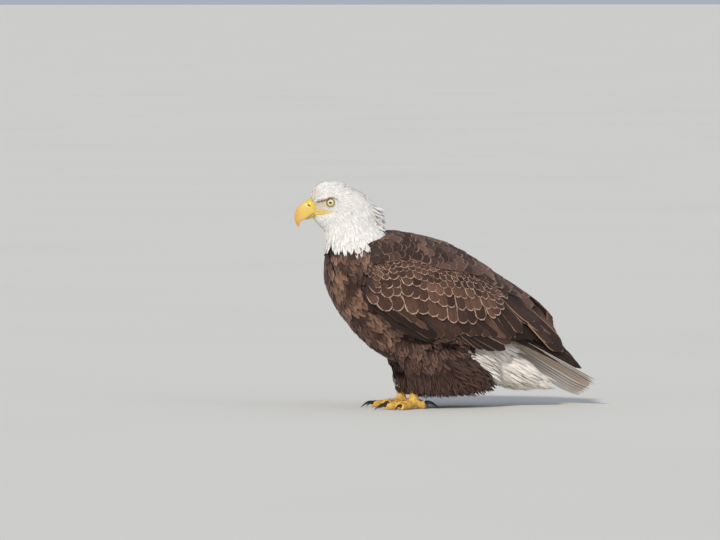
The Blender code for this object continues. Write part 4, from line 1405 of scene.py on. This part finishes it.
def fringe(name, look, chosen):
    rng = np.random.default_rng(look["seed"])
    roots, normals = scatter(chosen, look["spacing"], look["seed"])
    count = len(roots)
    reach = rng.uniform(*look["length"], count)
    rear = ease(unplace(roots)[:, :1], *fringeLook["rearwardFrom"]) * (look["rearward"], 0, 0)
    flow = np.array(look["flow"]) + rear + rng.normal(0, look["swing"], (count, 3))
    flow = unit(unit(flow) + normals * look["outward"])
    tips = roots + flow * (reach * mm)[:, None]
    lowest = look["lowest"] + rng.uniform(0, fringeLook["tipsApart"], count)
    tips[:, 2] = np.maximum(tips[:, 2], lowest * mm)
    middles = (roots + tips) / 2 + normals * (reach * fringeLook["sag"] * mm)[:, None]
    spine = clumped(np.stack([roots, middles, tips], axis=1), *look["clump"], rng)
    facing = unit(normals + np.array((0.0, 0.0, fringeLook["skyward"])))
    looks = looksFor(count, rng, rng.uniform(*look["fadedAndPaintedLight"], count), look["paled"])
    plumage(name, look, spine, np.stack([facing, facing], axis=1), rng.uniform(*look["width"], count),
            looks, look["height"])


hemFringe = {
    "form": spikeVane, "material": materials["trouser"], "slot": "body_plumage", "camber": 0.08,
    "thick": 0.3, "seed": 35, "spacing": 3.0, "length": (18, 38), "width": (2.0, 4.0),
    "flow": (0.28, 0.0, -1.0), "rearward": 0.5, "swing": 0.12, "outward": 0.12, "lowest": 24.0,
    "clump": (13.0, 0.45), "fadedAndPaintedLight": (0.0, 0.5), "paled": 0.3, "height": (6.0, 4.0),
}
rumpFringe = dict(
    hemFringe, seed=36, spacing=3.6, length=(20, 44), width=(3.0, 6.0), flow=(0.85, 0.0, -0.5),
    rearward=0.0, outward=0.05, lowest=34.0, clump=(20.0, 0.4))
ventFringe = dict(
    rumpFringe, material=materials["undertail"], slot="tail_plumage", seed=37, length=(26, 58),
    width=(4.0, 7.5), flow=(0.86, 0.0, -0.5), swing=0.05, outward=0.0, lowest=38.0, clump=(18.0, 0.45),
    fadedAndPaintedLight=(0.0, 0.3), paled=0.5, height=(9.0, 8.0))
napeFringe = dict(
    rumpFringe, form=lockVane, material=materials["head"], slot="head_plumage", seed=17, spacing=4.4,
    length=(15, 25), width=(6.0, 9.0), flow=(0.85, 0.0, -0.8), outward=0.14, lowest=300.0,
    clump=(11.0, 0.4), fadedAndPaintedLight=(0.0, 0.2), paled=0.6, height=(1.6, 2.6))
fringe("napeFringe", napeFringe, lambda p, n, f: (
    (p[:, 0] > -112) & (p[:, 2] < 428) & (aboveRuff(p) > 12) & (n[:, 0] > 0.5) & onHead(f)))
fringe("hemFringe", hemFringe, lambda p, n, f: (
    (faceShare(f, "thigh") > 0.4) & (p[:, 2] < 78) & (n[:, 2] < 0.3)))
fringe("rumpFringe", rumpFringe, lambda p, n, f: (
    (faceShare(f, "thigh") > 0.4) & (p[:, 0] > 30) & (p[:, 2] < 105) & (n[:, 0] > 0.0) & (pastVent(p) < 0)))
fringe("ventFringe", ventFringe, lambda p, n, f: isVent(p, f) & (p[:, 0] > 120) & (n[:, 2] < 0.4))


# The folded wing is read as a field of heights over its side view, in x and z

wingLook = {
    "hem": [(-122, 236), (-84, 212), (-46, 212), (1, 200), (60, 181), (97, 177), (129, 184), (165, 192),
            (196, 216)],
    "crest": [(-112, 296), (-77, 316), (-32, 321), (7, 312), (36, 303), (90, 296), (140, 284), (178, 262),
              (208, 236)],
    # for each row up from the hem: its share of the way, feather widths front and rear, and length
    "rows": [(0.0, 34, 27, 62), (0.25, 30, 25, 56), (0.44, 26, 22, 48), (0.60, 22, 19, 40),
             (0.72, 19, 17, 34), (0.81, 17, 16, 28), (0.89, 15, 14, 24), (0.95, 14, 13, 21)],
    "aim": ((0, 40), (0.15, 52), (0.35, 74), (0.55, 84), (0.75, 80), (0.9, 68), (1, 58)),
    "layer": (-1.2, 2.2), "visible": 0.8, "tilt": -0.5, "first": (0.2, 0.8), "gaps": (0.8, 1.15),
    # how far tips stray as a share of their width, how far they turn, and how small the first are
    "stray": 0.06, "turn": 4.0, "small": (0.6, 0.02, 0.16), "wide": (0.94, 1.12), "long": (0.92, 1.1),
    "coverts": {"form": broadVane, "material": materials["wing"], "slot": "wing_plumage", "camber": 0.06,
                "thick": 0.3, "ragged": 0.03},
}
fieldLook = {"x": (-160, 360), "z": (84, 366), "pitch": 6.0, "edge": 8.0, "aside": 200.0, "lift": 0.3,
             "fillPasses": 60, "evenPasses": 3, "topWeights": (0.1, 0.2, 0.4, 0.2, 0.1), "slope": 5.0}


def fourAround(values, **padding):
    padded = np.pad(values, 1, **padding)
    return np.stack([padded[:-2, 1:-1], padded[2:, 1:-1], padded[1:-1, :-2], padded[1:-1, 2:]])


def wingField(side):
    look, sign, tree = fieldLook, sides[side], treeOf(["wing_" + side])
    xs, zs = (np.arange(*look[key], look["pitch"]) for key in ("x", "z"))
    heights = np.full((len(xs), len(zs)), np.nan)
    for (i, x), (j, z) in itertools.product(enumerate(xs), enumerate(zs)):
        hit = tree.ray_cast(Vector(place((x, sign * look["aside"], z))), Vector((0, -sign, 0)))[0]
        if hit is not None and hit.y * sign > 0:
            heights[i, j] = hit.y * sign / mm
    tops = np.array([zs[row].max() if row.any() else zs[0] for row in ~np.isnan(heights)])
    tops = np.convolve(np.pad(tops, 2, mode="edge"), look["topWeights"], "valid")
    for _ in range(look["fillPasses"]):
        around = fourAround(heights, constant_values=np.nan)
        known = ~np.isnan(around)
        mean = np.where(known, around, 0).sum(axis=0) / np.maximum(known.sum(axis=0), 1)
        fill = np.isnan(heights) & (known.sum(axis=0) > 0)
        heights[fill] = mean[fill]
    for _ in range(look["evenPasses"]):
        up, down, front, rear = fourAround(heights, mode="edge")
        heights = (2 * heights + up + down + front + rear) / 6
    return {"sign": sign, "xs": xs, "zs": zs, "heights": heights, "tops": tops,
            "around": treeOf(["trunk", "wing_" + side])}


def readGrid(grid, i, j):
    i, j = np.clip(i, 0, len(grid) - 1.001), np.clip(j, 0, grid.shape[1] - 1.001)
    i0, j0 = i.astype(int), j.astype(int)
    extra = (...,) + (None,) * (grid.ndim - 2)
    s, t = (i - i0)[extra], (j - j0)[extra]
    low = grid[i0, j0] * (1 - s) + grid[i0 + 1, j0] * s
    high = grid[i0, j0 + 1] * (1 - s) + grid[i0 + 1, j0 + 1] * s
    return low * (1 - t) + high * t


def readField(field, x, z):
    pitch = fieldLook["pitch"]
    return readGrid(field["heights"], (x - field["xs"][0]) / pitch, (z - field["zs"][0]) / pitch)


def topAt(field, x):
    return np.interp(x, field["xs"], field["tops"])


# Past the wing's upper edge a feather follows the skin of the back instead

def onWing(field, x, z):
    y, step = readField(field, x, z), fieldLook["slope"]
    slopeX = (readField(field, x + step, z) - readField(field, x - step, z)) / (2 * step)
    slopeZ = (readField(field, x, z + step) - readField(field, x, z - step)) / (2 * step)
    points = place(np.stack([x, field["sign"] * y, z], axis=-1))
    normals = unit(np.stack([-slopeX, field["sign"] * np.ones_like(y), -slopeZ], axis=-1))
    past = z - topAt(field, x) > -fieldLook["edge"]
    if past.any():
        points[past], normals[past] = onSkin(points[past])
    return points, normals


def fieldFeathers(field, tips, aims, lengths, bow=0.0):
    aims = np.radians(aims)
    x, z = tips.T
    dx, dz = np.cos(aims), -np.sin(aims)
    rootX, rootZ = x - lengths * dx, z - lengths * dz
    midX, midZ = (x + rootX) / 2 - dz * bow, (z + rootZ) / 2 + dx * bow
    spots, normals = zip(*[onWing(field, *at) for at in ((rootX, rootZ), (midX, midZ), (x, z))])
    return np.stack(spots, axis=1), np.stack([normals[0], normals[2]], axis=1)


# The part of a vane that passes the wing's upper edge bends over onto the back

def bentOver(field):
    def bend(points, rise):
        flat, lift = points.reshape(-1, 3), rise.reshape(-1)
        spots = unplace(flat)
        over = spots[:, 2] - topAt(field, spots[:, 0]) + fieldLook["edge"]
        for k in np.nonzero(over > 0)[0]:
            near, normal, _, _ = field["around"].find_nearest(Vector(flat[k]))
            target = np.array(near) + np.array(normal) * (max(lift[k], 0.0) + fieldLook["lift"] * mm)
            flat[k] += (target - flat[k]) * min(over[k] / fieldLook["edge"], 1.0)
        return flat.reshape(points.shape)
    return bend


def rowFeathers(field, rng, row):
    look, (share, front, rear, length) = wingLook, row
    line = [np.array(low) * (1 - share) + np.array(high) * share
            for low, high in zip(look["hem"], look["crest"])]
    reach = curveLength(line)
    along, at = [], rng.uniform(*look["first"]) * front * look["visible"]
    while at < reach:
        along.append(at / reach)
        at += (front + (rear - front) * at / reach) * look["visible"] * rng.uniform(*look["gaps"])
    along = np.array(along)
    count = len(along)
    tips = curveThrough(line, along) + rng.normal(0, look["stray"] * front, (count, 2))
    aims = np.interp(along, *zip(*look["aim"])) + rng.normal(0, look["turn"], count)
    least, start, end = look["small"]
    small = least + (1 - least) * ease(along, start, end)
    widths = (front + (rear - front) * along) * small * rng.uniform(*look["wide"], count)
    spine, normals = fieldFeathers(field, tips, aims, length * small * rng.uniform(*look["long"], count))
    return spine, normals, widths, tips


def buildCoverts(side):
    field, sign, rng = wingFields[side], sides[side], np.random.default_rng(51 + sides[side])
    rows = [rowFeathers(field, rng, row) for row in wingLook["rows"]]
    spine, normals, widths, tips = (np.concatenate(parts) for parts in zip(*rows))
    count = len(widths)
    fadedAndPaintedLight = ease(patchNoise(np.insert(tips, 1, 50 * sign, axis=1), 24.0, 6), -0.2, 0.5) * 0.5
    fadedAndPaintedLight = fadedAndPaintedLight + rng.uniform(0.0, 0.5, count) ** 1.5
    looks = looksFor(count, rng, fadedAndPaintedLight, rng.uniform(0.65, 1.0, count))
    plumage("coverts_" + side, wingLook["coverts"], spine, normals, widths, looks, wingLook["layer"],
            wingLook["tilt"] * sign, bentOver(field))


# Single feathers of the folded wing, from the inmost layer out: root, tip, width, how faded,
# how pale the border is. A layer has the height of root and tip over the wing and a bow.

flightLook = {
    "layers": {
        "lower": (-2.6, -1.2, 3.0, [
            ((30, 186), (118, 134), 24, 0.1, 0.5), ((44, 190), (140, 124), 25, 0.1, 0.7),
            ((60, 180), (166, 121), 26, 0.0, 0.3), ((76, 176), (192, 122), 28, 0.0, 0.4),
            ((96, 184), (206, 136), 28, 0.35, 0.8)]),
        "secondary": (-2.2, 0.8, 3.0, [
            ((-38, 206), (42, 156), 44, 0.35, 0.9), ((-12, 204), (68, 147), 40, 0.2, 0.8),
            ((8, 206), (84, 158), 32, 0.3, 0.7), ((28, 206), (104, 163), 31, 0.1, 0.9),
            ((48, 204), (118, 155), 30, 0.35, 0.8), ((66, 206), (132, 156), 30, 0.15, 0.9),
            ((84, 206), (150, 152), 28, 0.5, 0.7), ((100, 210), (168, 150), 27, 0.1, 0.8),
            ((116, 214), (188, 147), 26, 0.9, 0.5), ((132, 220), (202, 146), 24, 0.2, 0.9),
            ((146, 226), (213, 148), 25, 0.1, 1.0), ((160, 232), (230, 157), 28, 0.2, 0.9),
            ((168, 246), (252, 173), 28, 0.1, 0.6)]),
        "edge": (-1.6, 1.6, 5.0, [
            # the first three get no fading and little pale border: darker, as painted shade along the
            # wing's lower edge
            ((-104, 222), (28, 151), 34, 0.0, 0.3), ((-122, 226), (-10, 164), 19, 0.0, 0.15),
            ((-142, 248), (-48, 181), 17, 0.05, 0.25), ((-98, 228), (4, 169), 16, 0.7, 0.8),
            ((-112, 240), (-30, 190), 18, 0.5, 0.8), ((-90, 228), (-22, 184), 20, 0.4, 0.8)]),
        "tertial": (-1.0, 2.2, -4.0, [
            ((168, 268), (262, 178), 40, 0.2, 0.7), ((182, 264), (290, 158), 42, 0.15, 0.7),
            ((194, 256), (314, 133), 44, 0.25, 0.9), ((204, 246), (338, 114), 44, 0.1, 0.6),
            ((200, 262), (326, 146), 40, 0.6, 0.4)]),
    },
    # the far wing's tertials get more of the pale brown: painted light on their tops
    "paintedLight": {"left": 0.0, "right": 0.45}, "step": 0.6, "tilt": -0.9,
    "vanes": {"form": longVane, "material": materials["flight"], "slot": "wing_plumage", "camber": 0.05,
              "thick": 0.5},
}


def buildFlight(side):
    field, look, rng = wingFields[side], flightLook, np.random.default_rng(61 + sides[side])
    parts = []
    for layer, (low, high, bow, rows) in look["layers"].items():
        roots, tips, widths, fadedAndPaintedLight, paled = (np.array(column, float) for column in zip(*rows))
        gap = tips - roots
        aims, lengths = np.degrees(np.arctan2(-gap[:, 1], gap[:, 0])), np.linalg.norm(gap, axis=1)
        spine, normals = fieldFeathers(field, tips, aims, lengths, bow)
        step = np.linspace(0, look["step"], len(rows))
        # painted light: the far wing's tertials are made paler brown
        if layer == "tertial":
            fadedAndPaintedLight = fadedAndPaintedLight + look["paintedLight"][side]
        looks = looksFor(len(rows), rng, fadedAndPaintedLight, paled)
        parts.append((spine, normals, widths, looks, low + step, high + step))
    spine, normals, widths, looks, low, high = (np.concatenate(part) for part in zip(*parts))
    plumage("secondaries_" + side, look["vanes"], spine, normals, widths, looks, (low, high),
            look["tilt"] * sides[side], bentOver(field))


wingFields = {side: wingField(side) for side in sides}
for side in sides:
    buildCoverts(side)
    buildFlight(side)
print("wings laid")


# The back is covered from one wing's upper edge to the other's. Section by section, a sheet is
# drawn tight over trunk and wings, so that the feathers bridge the hollow between the wings.

backLook = {
    "x": (-124, 300, 6.0), "across": 25, "below": 70.0, "spread": 88.0, "rays": 61, "far": 260.0,
    "fine": 400, "above": -10.0, "pastCrest": 12.0, "clearOfTop": 8.0, "passes": 4,
    # station along the bird: feather length, width and gap to the next row
    "stations": (-124, -100, -60, 40, 130, 200, 240), "length": (18, 30, 44, 56, 70, 70, 60),
    "width": (12, 20, 27, 31, 31, 28, 26), "gap": (6, 8, 11, 14, 19, 18, 14), "layer": (1.4, 4.2),
    "first": 4.0, "last": 206.0, "visible": 0.62, "uneven": (0.9, 1.1), "fan": (0.13, 50.0),
    # how far in from the sheet's edges the roots stay, as a share of its width, and how far tips stray
    "inset": 0.075, "stray": 0.035,
    "vanes": {"form": broadVane, "material": materials["mantle"], "slot": "body_plumage", "camber": 0.07,
              "thick": 0.35, "ragged": 0.04},
}


def upperHull(spots):
    kept = []
    for spot in spots[np.argsort(spots[:, 0])]:
        while len(kept) > 1:
            (ay, az), (by, bz) = kept[-2], kept[-1]
            if (by - ay) * (spot[1] - az) - (bz - az) * (spot[0] - ay) < 0:
                break
            kept.pop()
        kept.append(spot)
    return np.array(kept)


def backSection(tree, x):
    look, crest = backLook, np.array(wingLook["crest"], float)
    top = topAt(wingFields["left"], x)
    line = np.interp(x, *crest.T) if x < crest[-1, 0] else top - look["pastCrest"]
    line = min(line, top - look["clearOfTop"])
    spots = []
    for turn in np.radians(np.linspace(-look["spread"], look["spread"], look["rays"])):
        away = np.array((0.0, math.sin(turn), math.cos(turn)))
        start = Vector(place(np.array((x, 0.0, top - look["below"])) + away * look["far"]))
        hit = tree.ray_cast(start, Vector(-away), look["far"] * mm)[0]
        if hit is not None:
            spots.append(unplace(np.array(hit))[1:])
    hull = upperHull(np.array(spots))
    places, corners = np.linspace(0, 1, look["fine"]), np.linspace(0, 1, len(hull))
    fine = np.stack([np.interp(places, corners, column) for column in hull.T], axis=1)
    fine = fine[fine[:, 1] > line + look["above"]]
    reach = np.concatenate([[0], np.cumsum(np.linalg.norm(np.diff(fine, axis=0), axis=1))])
    even = np.linspace(0, reach[-1], look["across"])
    return np.stack([np.full(len(even), x)] + [np.interp(even, reach, column) for column in fine.T], axis=1)


def backSheet():
    tree = treeOf(["trunk", "wing_left", "wing_right"])
    sheet = np.array([backSection(tree, x) for x in np.arange(*backLook["x"])])
    for _ in range(backLook["passes"]):
        padded = np.pad(sheet, ((1, 1), (0, 0), (0, 0)), mode="edge")
        sheet = (padded[:-2] + 2 * sheet + padded[2:]) / 4
    return sheet


def onSheet(sheet, x, share):
    start, _, pitch = backLook["x"]
    return place(readGrid(sheet, (x - start) / pitch, share * (backLook["across"] - 1)))


def nearestUp(tree, point):
    near, normal, _, _ = tree.find_nearest(Vector(point))
    return np.array(near), np.array(normal) * math.copysign(1.0, normal.z)


# Lays each point of a feather on the surface below it, raised by its layer

def huggingOf(tree):
    def hug(points, rise):
        moved, lift = points.reshape(-1, 3).copy(), rise.reshape(-1)
        for k, point in enumerate(moved):
            near, up = nearestUp(tree, point)
            moved[k] = near + up * lift[k]
        return moved.reshape(points.shape)
    return hug


def backRows(sheet, rng):
    look = backLook
    start, _, pitch = look["x"]
    x, rows = start + look["first"], []
    while x < look["last"]:
        length, width, gap = (np.interp(x, look["stations"], look[key])
                              for key in ("length", "width", "gap"))
        section = sheet[int((x - start) / pitch)]
        wide = np.linalg.norm(np.diff(section, axis=0), axis=1).sum()
        count = max(int(round(wide / (width * look["visible"]))), 3)
        share = (np.arange(count) + rng.uniform(0.2, 0.8) + rng.uniform(-0.2, 0.2, count)) / count
        stations = x + rng.uniform(-0.35, 0.35, count) * gap
        lengths, widths = (value * rng.uniform(*look["uneven"], count) for value in (length, width))
        rows.append(np.stack([stations, share, lengths, widths], axis=1))
        x += gap
    return np.concatenate(rows).T


def buildBack():
    look, sheet, rng = backLook, backSheet(), np.random.default_rng(71)
    wide = look["across"]
    quads = [(i * wide + j, i * wide + j + 1, (i + 1) * wide + j + 1, (i + 1) * wide + j)
             for i in range(len(sheet) - 1) for j in range(wide - 1)]
    tree = treeFrom(place(sheet.reshape(-1, 3)), quads)
    stations, share, length, width = backRows(sheet, rng)
    count = len(share)
    share = look["inset"] + (1 - 2 * look["inset"]) * np.clip(share, 0.0, 1.0)
    most, atLength = look["fan"]
    outward = (share - 0.5) * most * length / atLength + rng.uniform(-1, 1, count) * look["stray"]
    spine = np.stack([onSheet(sheet, stations + length * part, np.clip(share + outward * part, 0, 1))
                      for part in (0.0, 0.5, 1.0)], axis=1)
    ends = np.array([[nearestUp(tree, line[end])[1] for end in (0, 2)] for line in spine])
    fadedAndPaintedLight = ease(patchNoise(unplace(spine[:, 0]), 34.0, 8), -0.2, 0.4) * 0.8
    looks = looksFor(count, rng, fadedAndPaintedLight, rng.uniform(0.15, 0.95, count))
    low, high = look["layer"]
    high = high - 1.6 * ease(stations, 150.0, 220.0) + rng.uniform(-0.4, 0.6, count)
    plumage("scapularFeathers", look["vanes"], spine, ends, width, looks, (low, high),
            rng.uniform(-0.4, 0.4, count), huggingOf(tree))


buildBack()


tailLook = {
    "root": (186.0, 0.0, 172.0), "length": 274.0, "pitch": math.radians(30.0), "roll": math.radians(18.0),
    "rootWidth": 50.0, "tipWidth": 112.0, "droop": 3.0, "stack": 5.0, "feathers": 12, "shortest": 0.965,
    "width": 29.0, "crowded": 1.6, "tilt": 3.6, "fadedAndPaintedLight": (0.4, 0.9),
    "vanes": {"form": longVane, "material": materials["tail"], "slot": "tail_plumage", "camber": 0.03,
              "thick": 0.8},
}


def vaneBetween(roots, tips, normals, sag):
    middle = (roots + tips) / 2 + normals * sag
    return np.stack([roots, middle, tips], axis=1), np.stack([normals, normals], axis=1)


def buildTail():
    look, count = tailLook, tailLook["feathers"]
    along = np.array((math.cos(look["pitch"]), 0.0, -math.sin(look["pitch"])))
    across = np.array((0.0, math.cos(look["roll"]), -math.sin(look["roll"])))
    up = np.cross(along, across)
    up *= math.copysign(1.0, up[2])
    share = 1 - 2 * (1 - np.linspace(0, 1, count)) ** look["crowded"]
    reach = look["length"] * (1 - (1 - look["shortest"]) * share**2)

    def spot(part):
        half = look["rootWidth"] + (look["tipWidth"] - look["rootWidth"]) * part
        drop = look["droop"] * np.abs(share) ** 1.5 + look["stack"] * np.abs(share)
        moved = along * (reach * part)[:, None] + across * (share * half / 2)[:, None]
        return place(np.array(look["root"]) + moved - up * drop[:, None])

    spine, ends = vaneBetween(spot(0.0), spot(1.0), np.tile(up, (count, 1)), 0.0)
    rng = np.random.default_rng(81)
    # The middle feathers get painted shade: more of the beige faded colour than the outer ones
    looks = looksFor(count, rng, rng.uniform(*look["fadedAndPaintedLight"], count) * ease(-np.abs(share), -1.0, -0.5))
    plumage("tailFeathers", look["vanes"], spine, ends, np.full(count, look["width"]), looks, (0.0, 0.0),
            np.where(share < 0, -1, 1) * look["tilt"], replaced=["tail"])


# Between the folded wings, long feathers of the rump lie over the line where the wings meet

rumpLook = {
    # for each row: station, half spread of its roots, how many feathers and their length
    "rows": [(196, 16, 4, 84), (212, 16, 4, 82), (228, 16, 4, 72), (245, 15, 4, 68), (262, 14, 4, 62)],
    "width": 25.0, "layer": (3.4, 2.4), "from": 420.0, "fall": 0.83, "lean": 0.6, "leanFrom": 8,
    # the line where the wings meet bears to the left towards the tail; a spot beside it is drawn
    # in towards it until there is wing below
    "ridge": ((200.0, 300.0), (0.0, -16.0)), "drawnIn": (1.0, 0.85, 0.7, 0.5, 0.3, 0.0),
    "vanes": {"form": longVane, "material": materials["flight"], "slot": "body_plumage", "camber": 0.04,
              "thick": 0.4},
}


def fromAbove(tree, x, aside):
    ridge = np.interp(x, *rumpLook["ridge"])
    for share in rumpLook["drawnIn"]:
        start = Vector(place((x, ridge + aside * share, rumpLook["from"])))
        hit = tree.ray_cast(start, Vector((0, 0, -1)))[0]
        if hit is not None:
            return np.array(hit)
    raise ValueError(f"no wing below {x:.0f}, {aside:.0f}")


def buildRump():
    look, tree, rng = rumpLook, treeOf(["wing_" + side for side in sides]), np.random.default_rng(75)
    spines, ups = [], []
    for station, spread, count, length in look["rows"]:
        for y in np.linspace(-spread, spread, count) + rng.uniform(-2, 2, count):
            spines.append([fromAbove(tree, station + step * length, y) for step in (0.0, 0.5, 1.0)])
            ups.append((look["fall"], look["lean"] * min(max(y / look["leanFrom"], -1), 1), 1.0))
    count, ups = len(spines), unit(np.array(ups))
    looks = looksFor(count, rng, rng.uniform(0.3, 0.9, count), rng.uniform(0.6, 1.0, count))
    plumage("rumpFeathers", look["vanes"], spines, np.stack([ups, ups], axis=1),
            look["width"] * rng.uniform(0.9, 1.1, count), looks, look["layer"], drape=huggingOf(tree))


primaryLook = {
    # x, z and distance from the middle
    "tips": [(346, 118, 15), (362, 104, 17), (376, 91, 19), (388, 77, 21), (366, 85, 23)],
    "roots": [(190, 200, 50), (188, 190, 52), (186, 180, 54), (186, 171, 55), (184, 161, 56)],
    "width": 26.0, "sag": 3, "lift": 5, "facing": (0.12, 1.0, 0.1), "layer": 1.6, "tilt": -1.0,
    "fadedAndPaintedLight": 0.05, "paled": 0.25,
    "vanes": {"form": longVane, "material": materials["flight"], "slot": "wing_plumage", "camber": 0.04,
              "thick": 0.7},
}


def buildPrimaries(side):
    look, sign = primaryLook, sides[side]
    roots, tips = (place(np.array(look[key], float)[:, [0, 2, 1]] * (1, sign, 1))
                   for key in ("roots", "tips"))
    count = len(roots)
    facing = np.tile(np.array(look["facing"]) * (1, sign, 1), (count, 1))
    spine, ends = vaneBetween(roots, tips, alongSurface(facing, unit(tips - roots)), look["sag"] * mm)
    spine[:, 1, 2] += look["lift"] * mm
    looks = looksFor(count, np.random.default_rng(91 + sign), look["fadedAndPaintedLight"], look["paled"])
    plumage("primaries_" + side + "Feathers", look["vanes"], spine, ends, np.full(count, look["width"]),
            looks, (0.0, np.linspace(look["layer"], 0.0, count)), look["tilt"] * sign,
            replaced=["primaries_" + side])


buildTail()
buildRump()
for side in sides:
    buildPrimaries(side)
print("tail and primaries laid")


def skinMaterial():
    made, tree, shader = newMaterial("skin")
    where = whereNode(tree)
    isWhite, isYellow, isLore = maskParts(tree, "region")
    soft = noiseNode(tree, where, 140.0)
    brown = mixNode(tree, soft, (38, 27, 24), (54, 39, 33))
    white = mixNode(tree, soft, (226, 218, 210), (244, 240, 235))
    yellow = mixNode(tree, noiseNode(tree, where, 260.0, 5.0), (212, 158, 58), (238, 196, 100))
    lores = mixNode(tree, soft, (186, 168, 122), (226, 208, 164))
    body = mixNode(tree, isYellow, mixNode(tree, isWhite, brown, white), yellow)
    scales = mathNode(tree, "MINIMUM", pebblesNode(tree, where, 420.0), 0.12)
    grain = mathNode(tree, "ADD", scales, mathNode(tree, "MULTIPLY", soft, 0.2))
    feed(tree, shader, {"Base Color": mixNode(tree, isLore, body, lores), "Roughness": 0.6,
                        "Specular IOR Level": 0.25, "Normal": reliefNode(tree, 0.5, 0.0006, grain)})
    return made


def finishSkin():
    points = coordsOf(skin)
    mmPoints = unplace(points)
    white = ease(aboveRuff(mmPoints), -8.0, 2.0)
    white = np.maximum(white, ease(skinShares["undertail"], 0.4, 0.6))
    white = np.maximum(white, ease(pastVent(mmPoints), -3.0, 3.0) * ease(skinShares["thigh"], 0.2, 0.4))
    yellow = ease(skinShares["shank"] + skinShares["toe"], 0.3, 0.7)
    aside = (headUnplace(points) - (-193.0, 0.0, 426.0)) * (1, 0, 1)
    lore = 1 - ease(np.linalg.norm(aside, axis=1), 12.0, 22.0)
    setVectors(skin, "region", np.stack([white, yellow, lore], axis=1))
    skin.data.materials.clear()
    finishPiece(skin, skinMaterial(), [name for names in nodeGroups.values() for name in names])


finishSkin()
print("skin finished")


# Horny plates on the toes and shanks: bands over the top and the front, small scales elsewhere

def outOfAnkle(points, normals):
    spots = unplace(points)
    flow = np.empty_like(spots)
    for side, sign in sides.items():
        here = spots[:, 1] * sign > 0
        flow[here] = spots[here] - unplace(middleOf("shank_" + side))
    flow[:, 2] = 0
    low = (1 - ease(spots[:, 2], 20.0, 34.0))[:, None]
    return alongSurface(unit(flow) * low + np.array((0.0, 0.0, -1.0)) * (1 - low), normals)


def isFoot(faces):
    return faceShare(faces, "toe", "shank") > 0.5


def isBand(points, normals):
    return np.where(points[:, 2] < 26.0, normals[:, 2] > 0.6, normals[:, 0] < -0.5)


plateTract = {
    "form": plateVane, "material": lipMaterial("footPlates", (222, 168, 66), (242, 202, 112), 0.5),
    "slot": "leg_skin", "seed": 91, "lay": outOfAnkle, "spacing": 1.9, "lengthPerGap": 1.7,
    "widthPerGap": 1.7, "height": (0.0, 0.3), "marks": lambda p, rng: (0.0, 0.0), "swing": 8,
    "camber": 0.08, "thick": 0.1,
}
bandTract = dict(plateTract, seed=92, spacing=3.1, lengthPerGap=1.6, widthPerGap=2.6, swing=3,
                 height=(0.1, 0.5), camber=0.04)
tract("footPlates", plateTract, lambda p, n, f: isFoot(f) & ~isBand(p, n) & (p[:, 2] > 1.5))
tract("footBands", bandTract, lambda p, n, f: isFoot(f) & isBand(p, n))


clawLook = {"voxel": 0.55, "passes": 6}


def clawMaterial():
    made, tree, shader = newMaterial("clawHorn")
    grown = noiseNode(tree, whereNode(tree), 300.0)
    feed(tree, shader, {"Base Color": mixNode(tree, grown, (24, 22, 22), (52, 47, 44)),
                        "Normal": reliefNode(tree, 0.2, 0.0004, grown), "Roughness": 0.32})
    return made


def buildClaws():
    black = clawMaterial()
    for side in sides:
        names = [f"claw_{kind}_{side}" for kind in toeKinds]
        copies = [fleshCopy(name) for name in names]
        claws = fused(copies, "claws_" + side, clawLook["voxel"], clawLook["passes"])
        points = coordsOf(claws)
        points[:, 2] = np.maximum(points[:, 2], 0.0)
        setCoords(claws, points)
        finishPiece(claws, black, names)


buildClaws()
print("feet and claws finished")


cameraLook = {"aim": (-93.5, 37.8, 289.8), "azimuth": -22.0, "elevation": 2.0, "distance": 16.8,
              "lens": 400.0, "sensor": 36.0, "farthest": 900.0}
stageLook = {
    "floorSize": 900.0, "floor": ((214, 211, 205), (220, 217, 211)), "sky": (0.78, 0.87, 1.0, 1),
    "skyStrength": 0.5, "lightDistance": 5,
    # azimuth and elevation, strength, tint and breadth in degrees
    "suns": {"sun": ((-46.0, 36.0), 2.5, (1.0, 0.95, 0.87), 7.0),
             "fill": ((35.0, 30.0), 0.25, (0.85, 0.92, 1.0), 40.0)},
}


def aimed(name, data, azimuth, elevation, distance, aim=(0, 0, 0)):
    a, e = math.radians(azimuth), math.radians(elevation)
    away = Vector((math.sin(a) * math.cos(e), -math.cos(a) * math.cos(e), math.sin(e)))
    made = added(name, data)
    made.location = Vector(aim) + away * distance
    made.rotation_euler = (-away).to_track_quat("-Z", "Y").to_euler()
    return made


def buildStage():
    look = stageLook
    deselect()
    bpy.ops.mesh.primitive_plane_add(size=look["floorSize"])
    floor = bpy.context.object
    floor.name = "floor"
    made, tree, shader = newMaterial("floor")
    body = mixNode(tree, noiseNode(tree, whereNode(tree), 0.6, 2.0), *look["floor"])
    feed(tree, shader, {"Base Color": body, "Roughness": 0.8})
    floor.data.materials.append(made)
    world = bpy.data.worlds.new("studio")
    bpy.context.scene.world = world
    world.use_nodes = True
    feed(world.node_tree, world.node_tree.nodes["Background"], {0: look["sky"], 1: look["skyStrength"]})
    for name, (start, strength, tint, breadth) in look["suns"].items():
        light = bpy.data.lights.new(name, "SUN")
        light.energy, light.color, light.angle = strength, tint, math.radians(breadth)
        aimed(name, light, *start, look["lightDistance"])


def buildCamera():
    look, camera = cameraLook, bpy.data.cameras.new("camera")
    camera.lens, camera.sensor_width, camera.clip_end = look["lens"], look["sensor"], look["farthest"]
    made = aimed("camera", camera, look["azimuth"], look["elevation"], look["distance"], place(look["aim"]))
    bpy.context.scene.camera = made


buildStage()
buildCamera()
bpy.context.scene.view_settings.view_transform = "Standard"

print("all built")
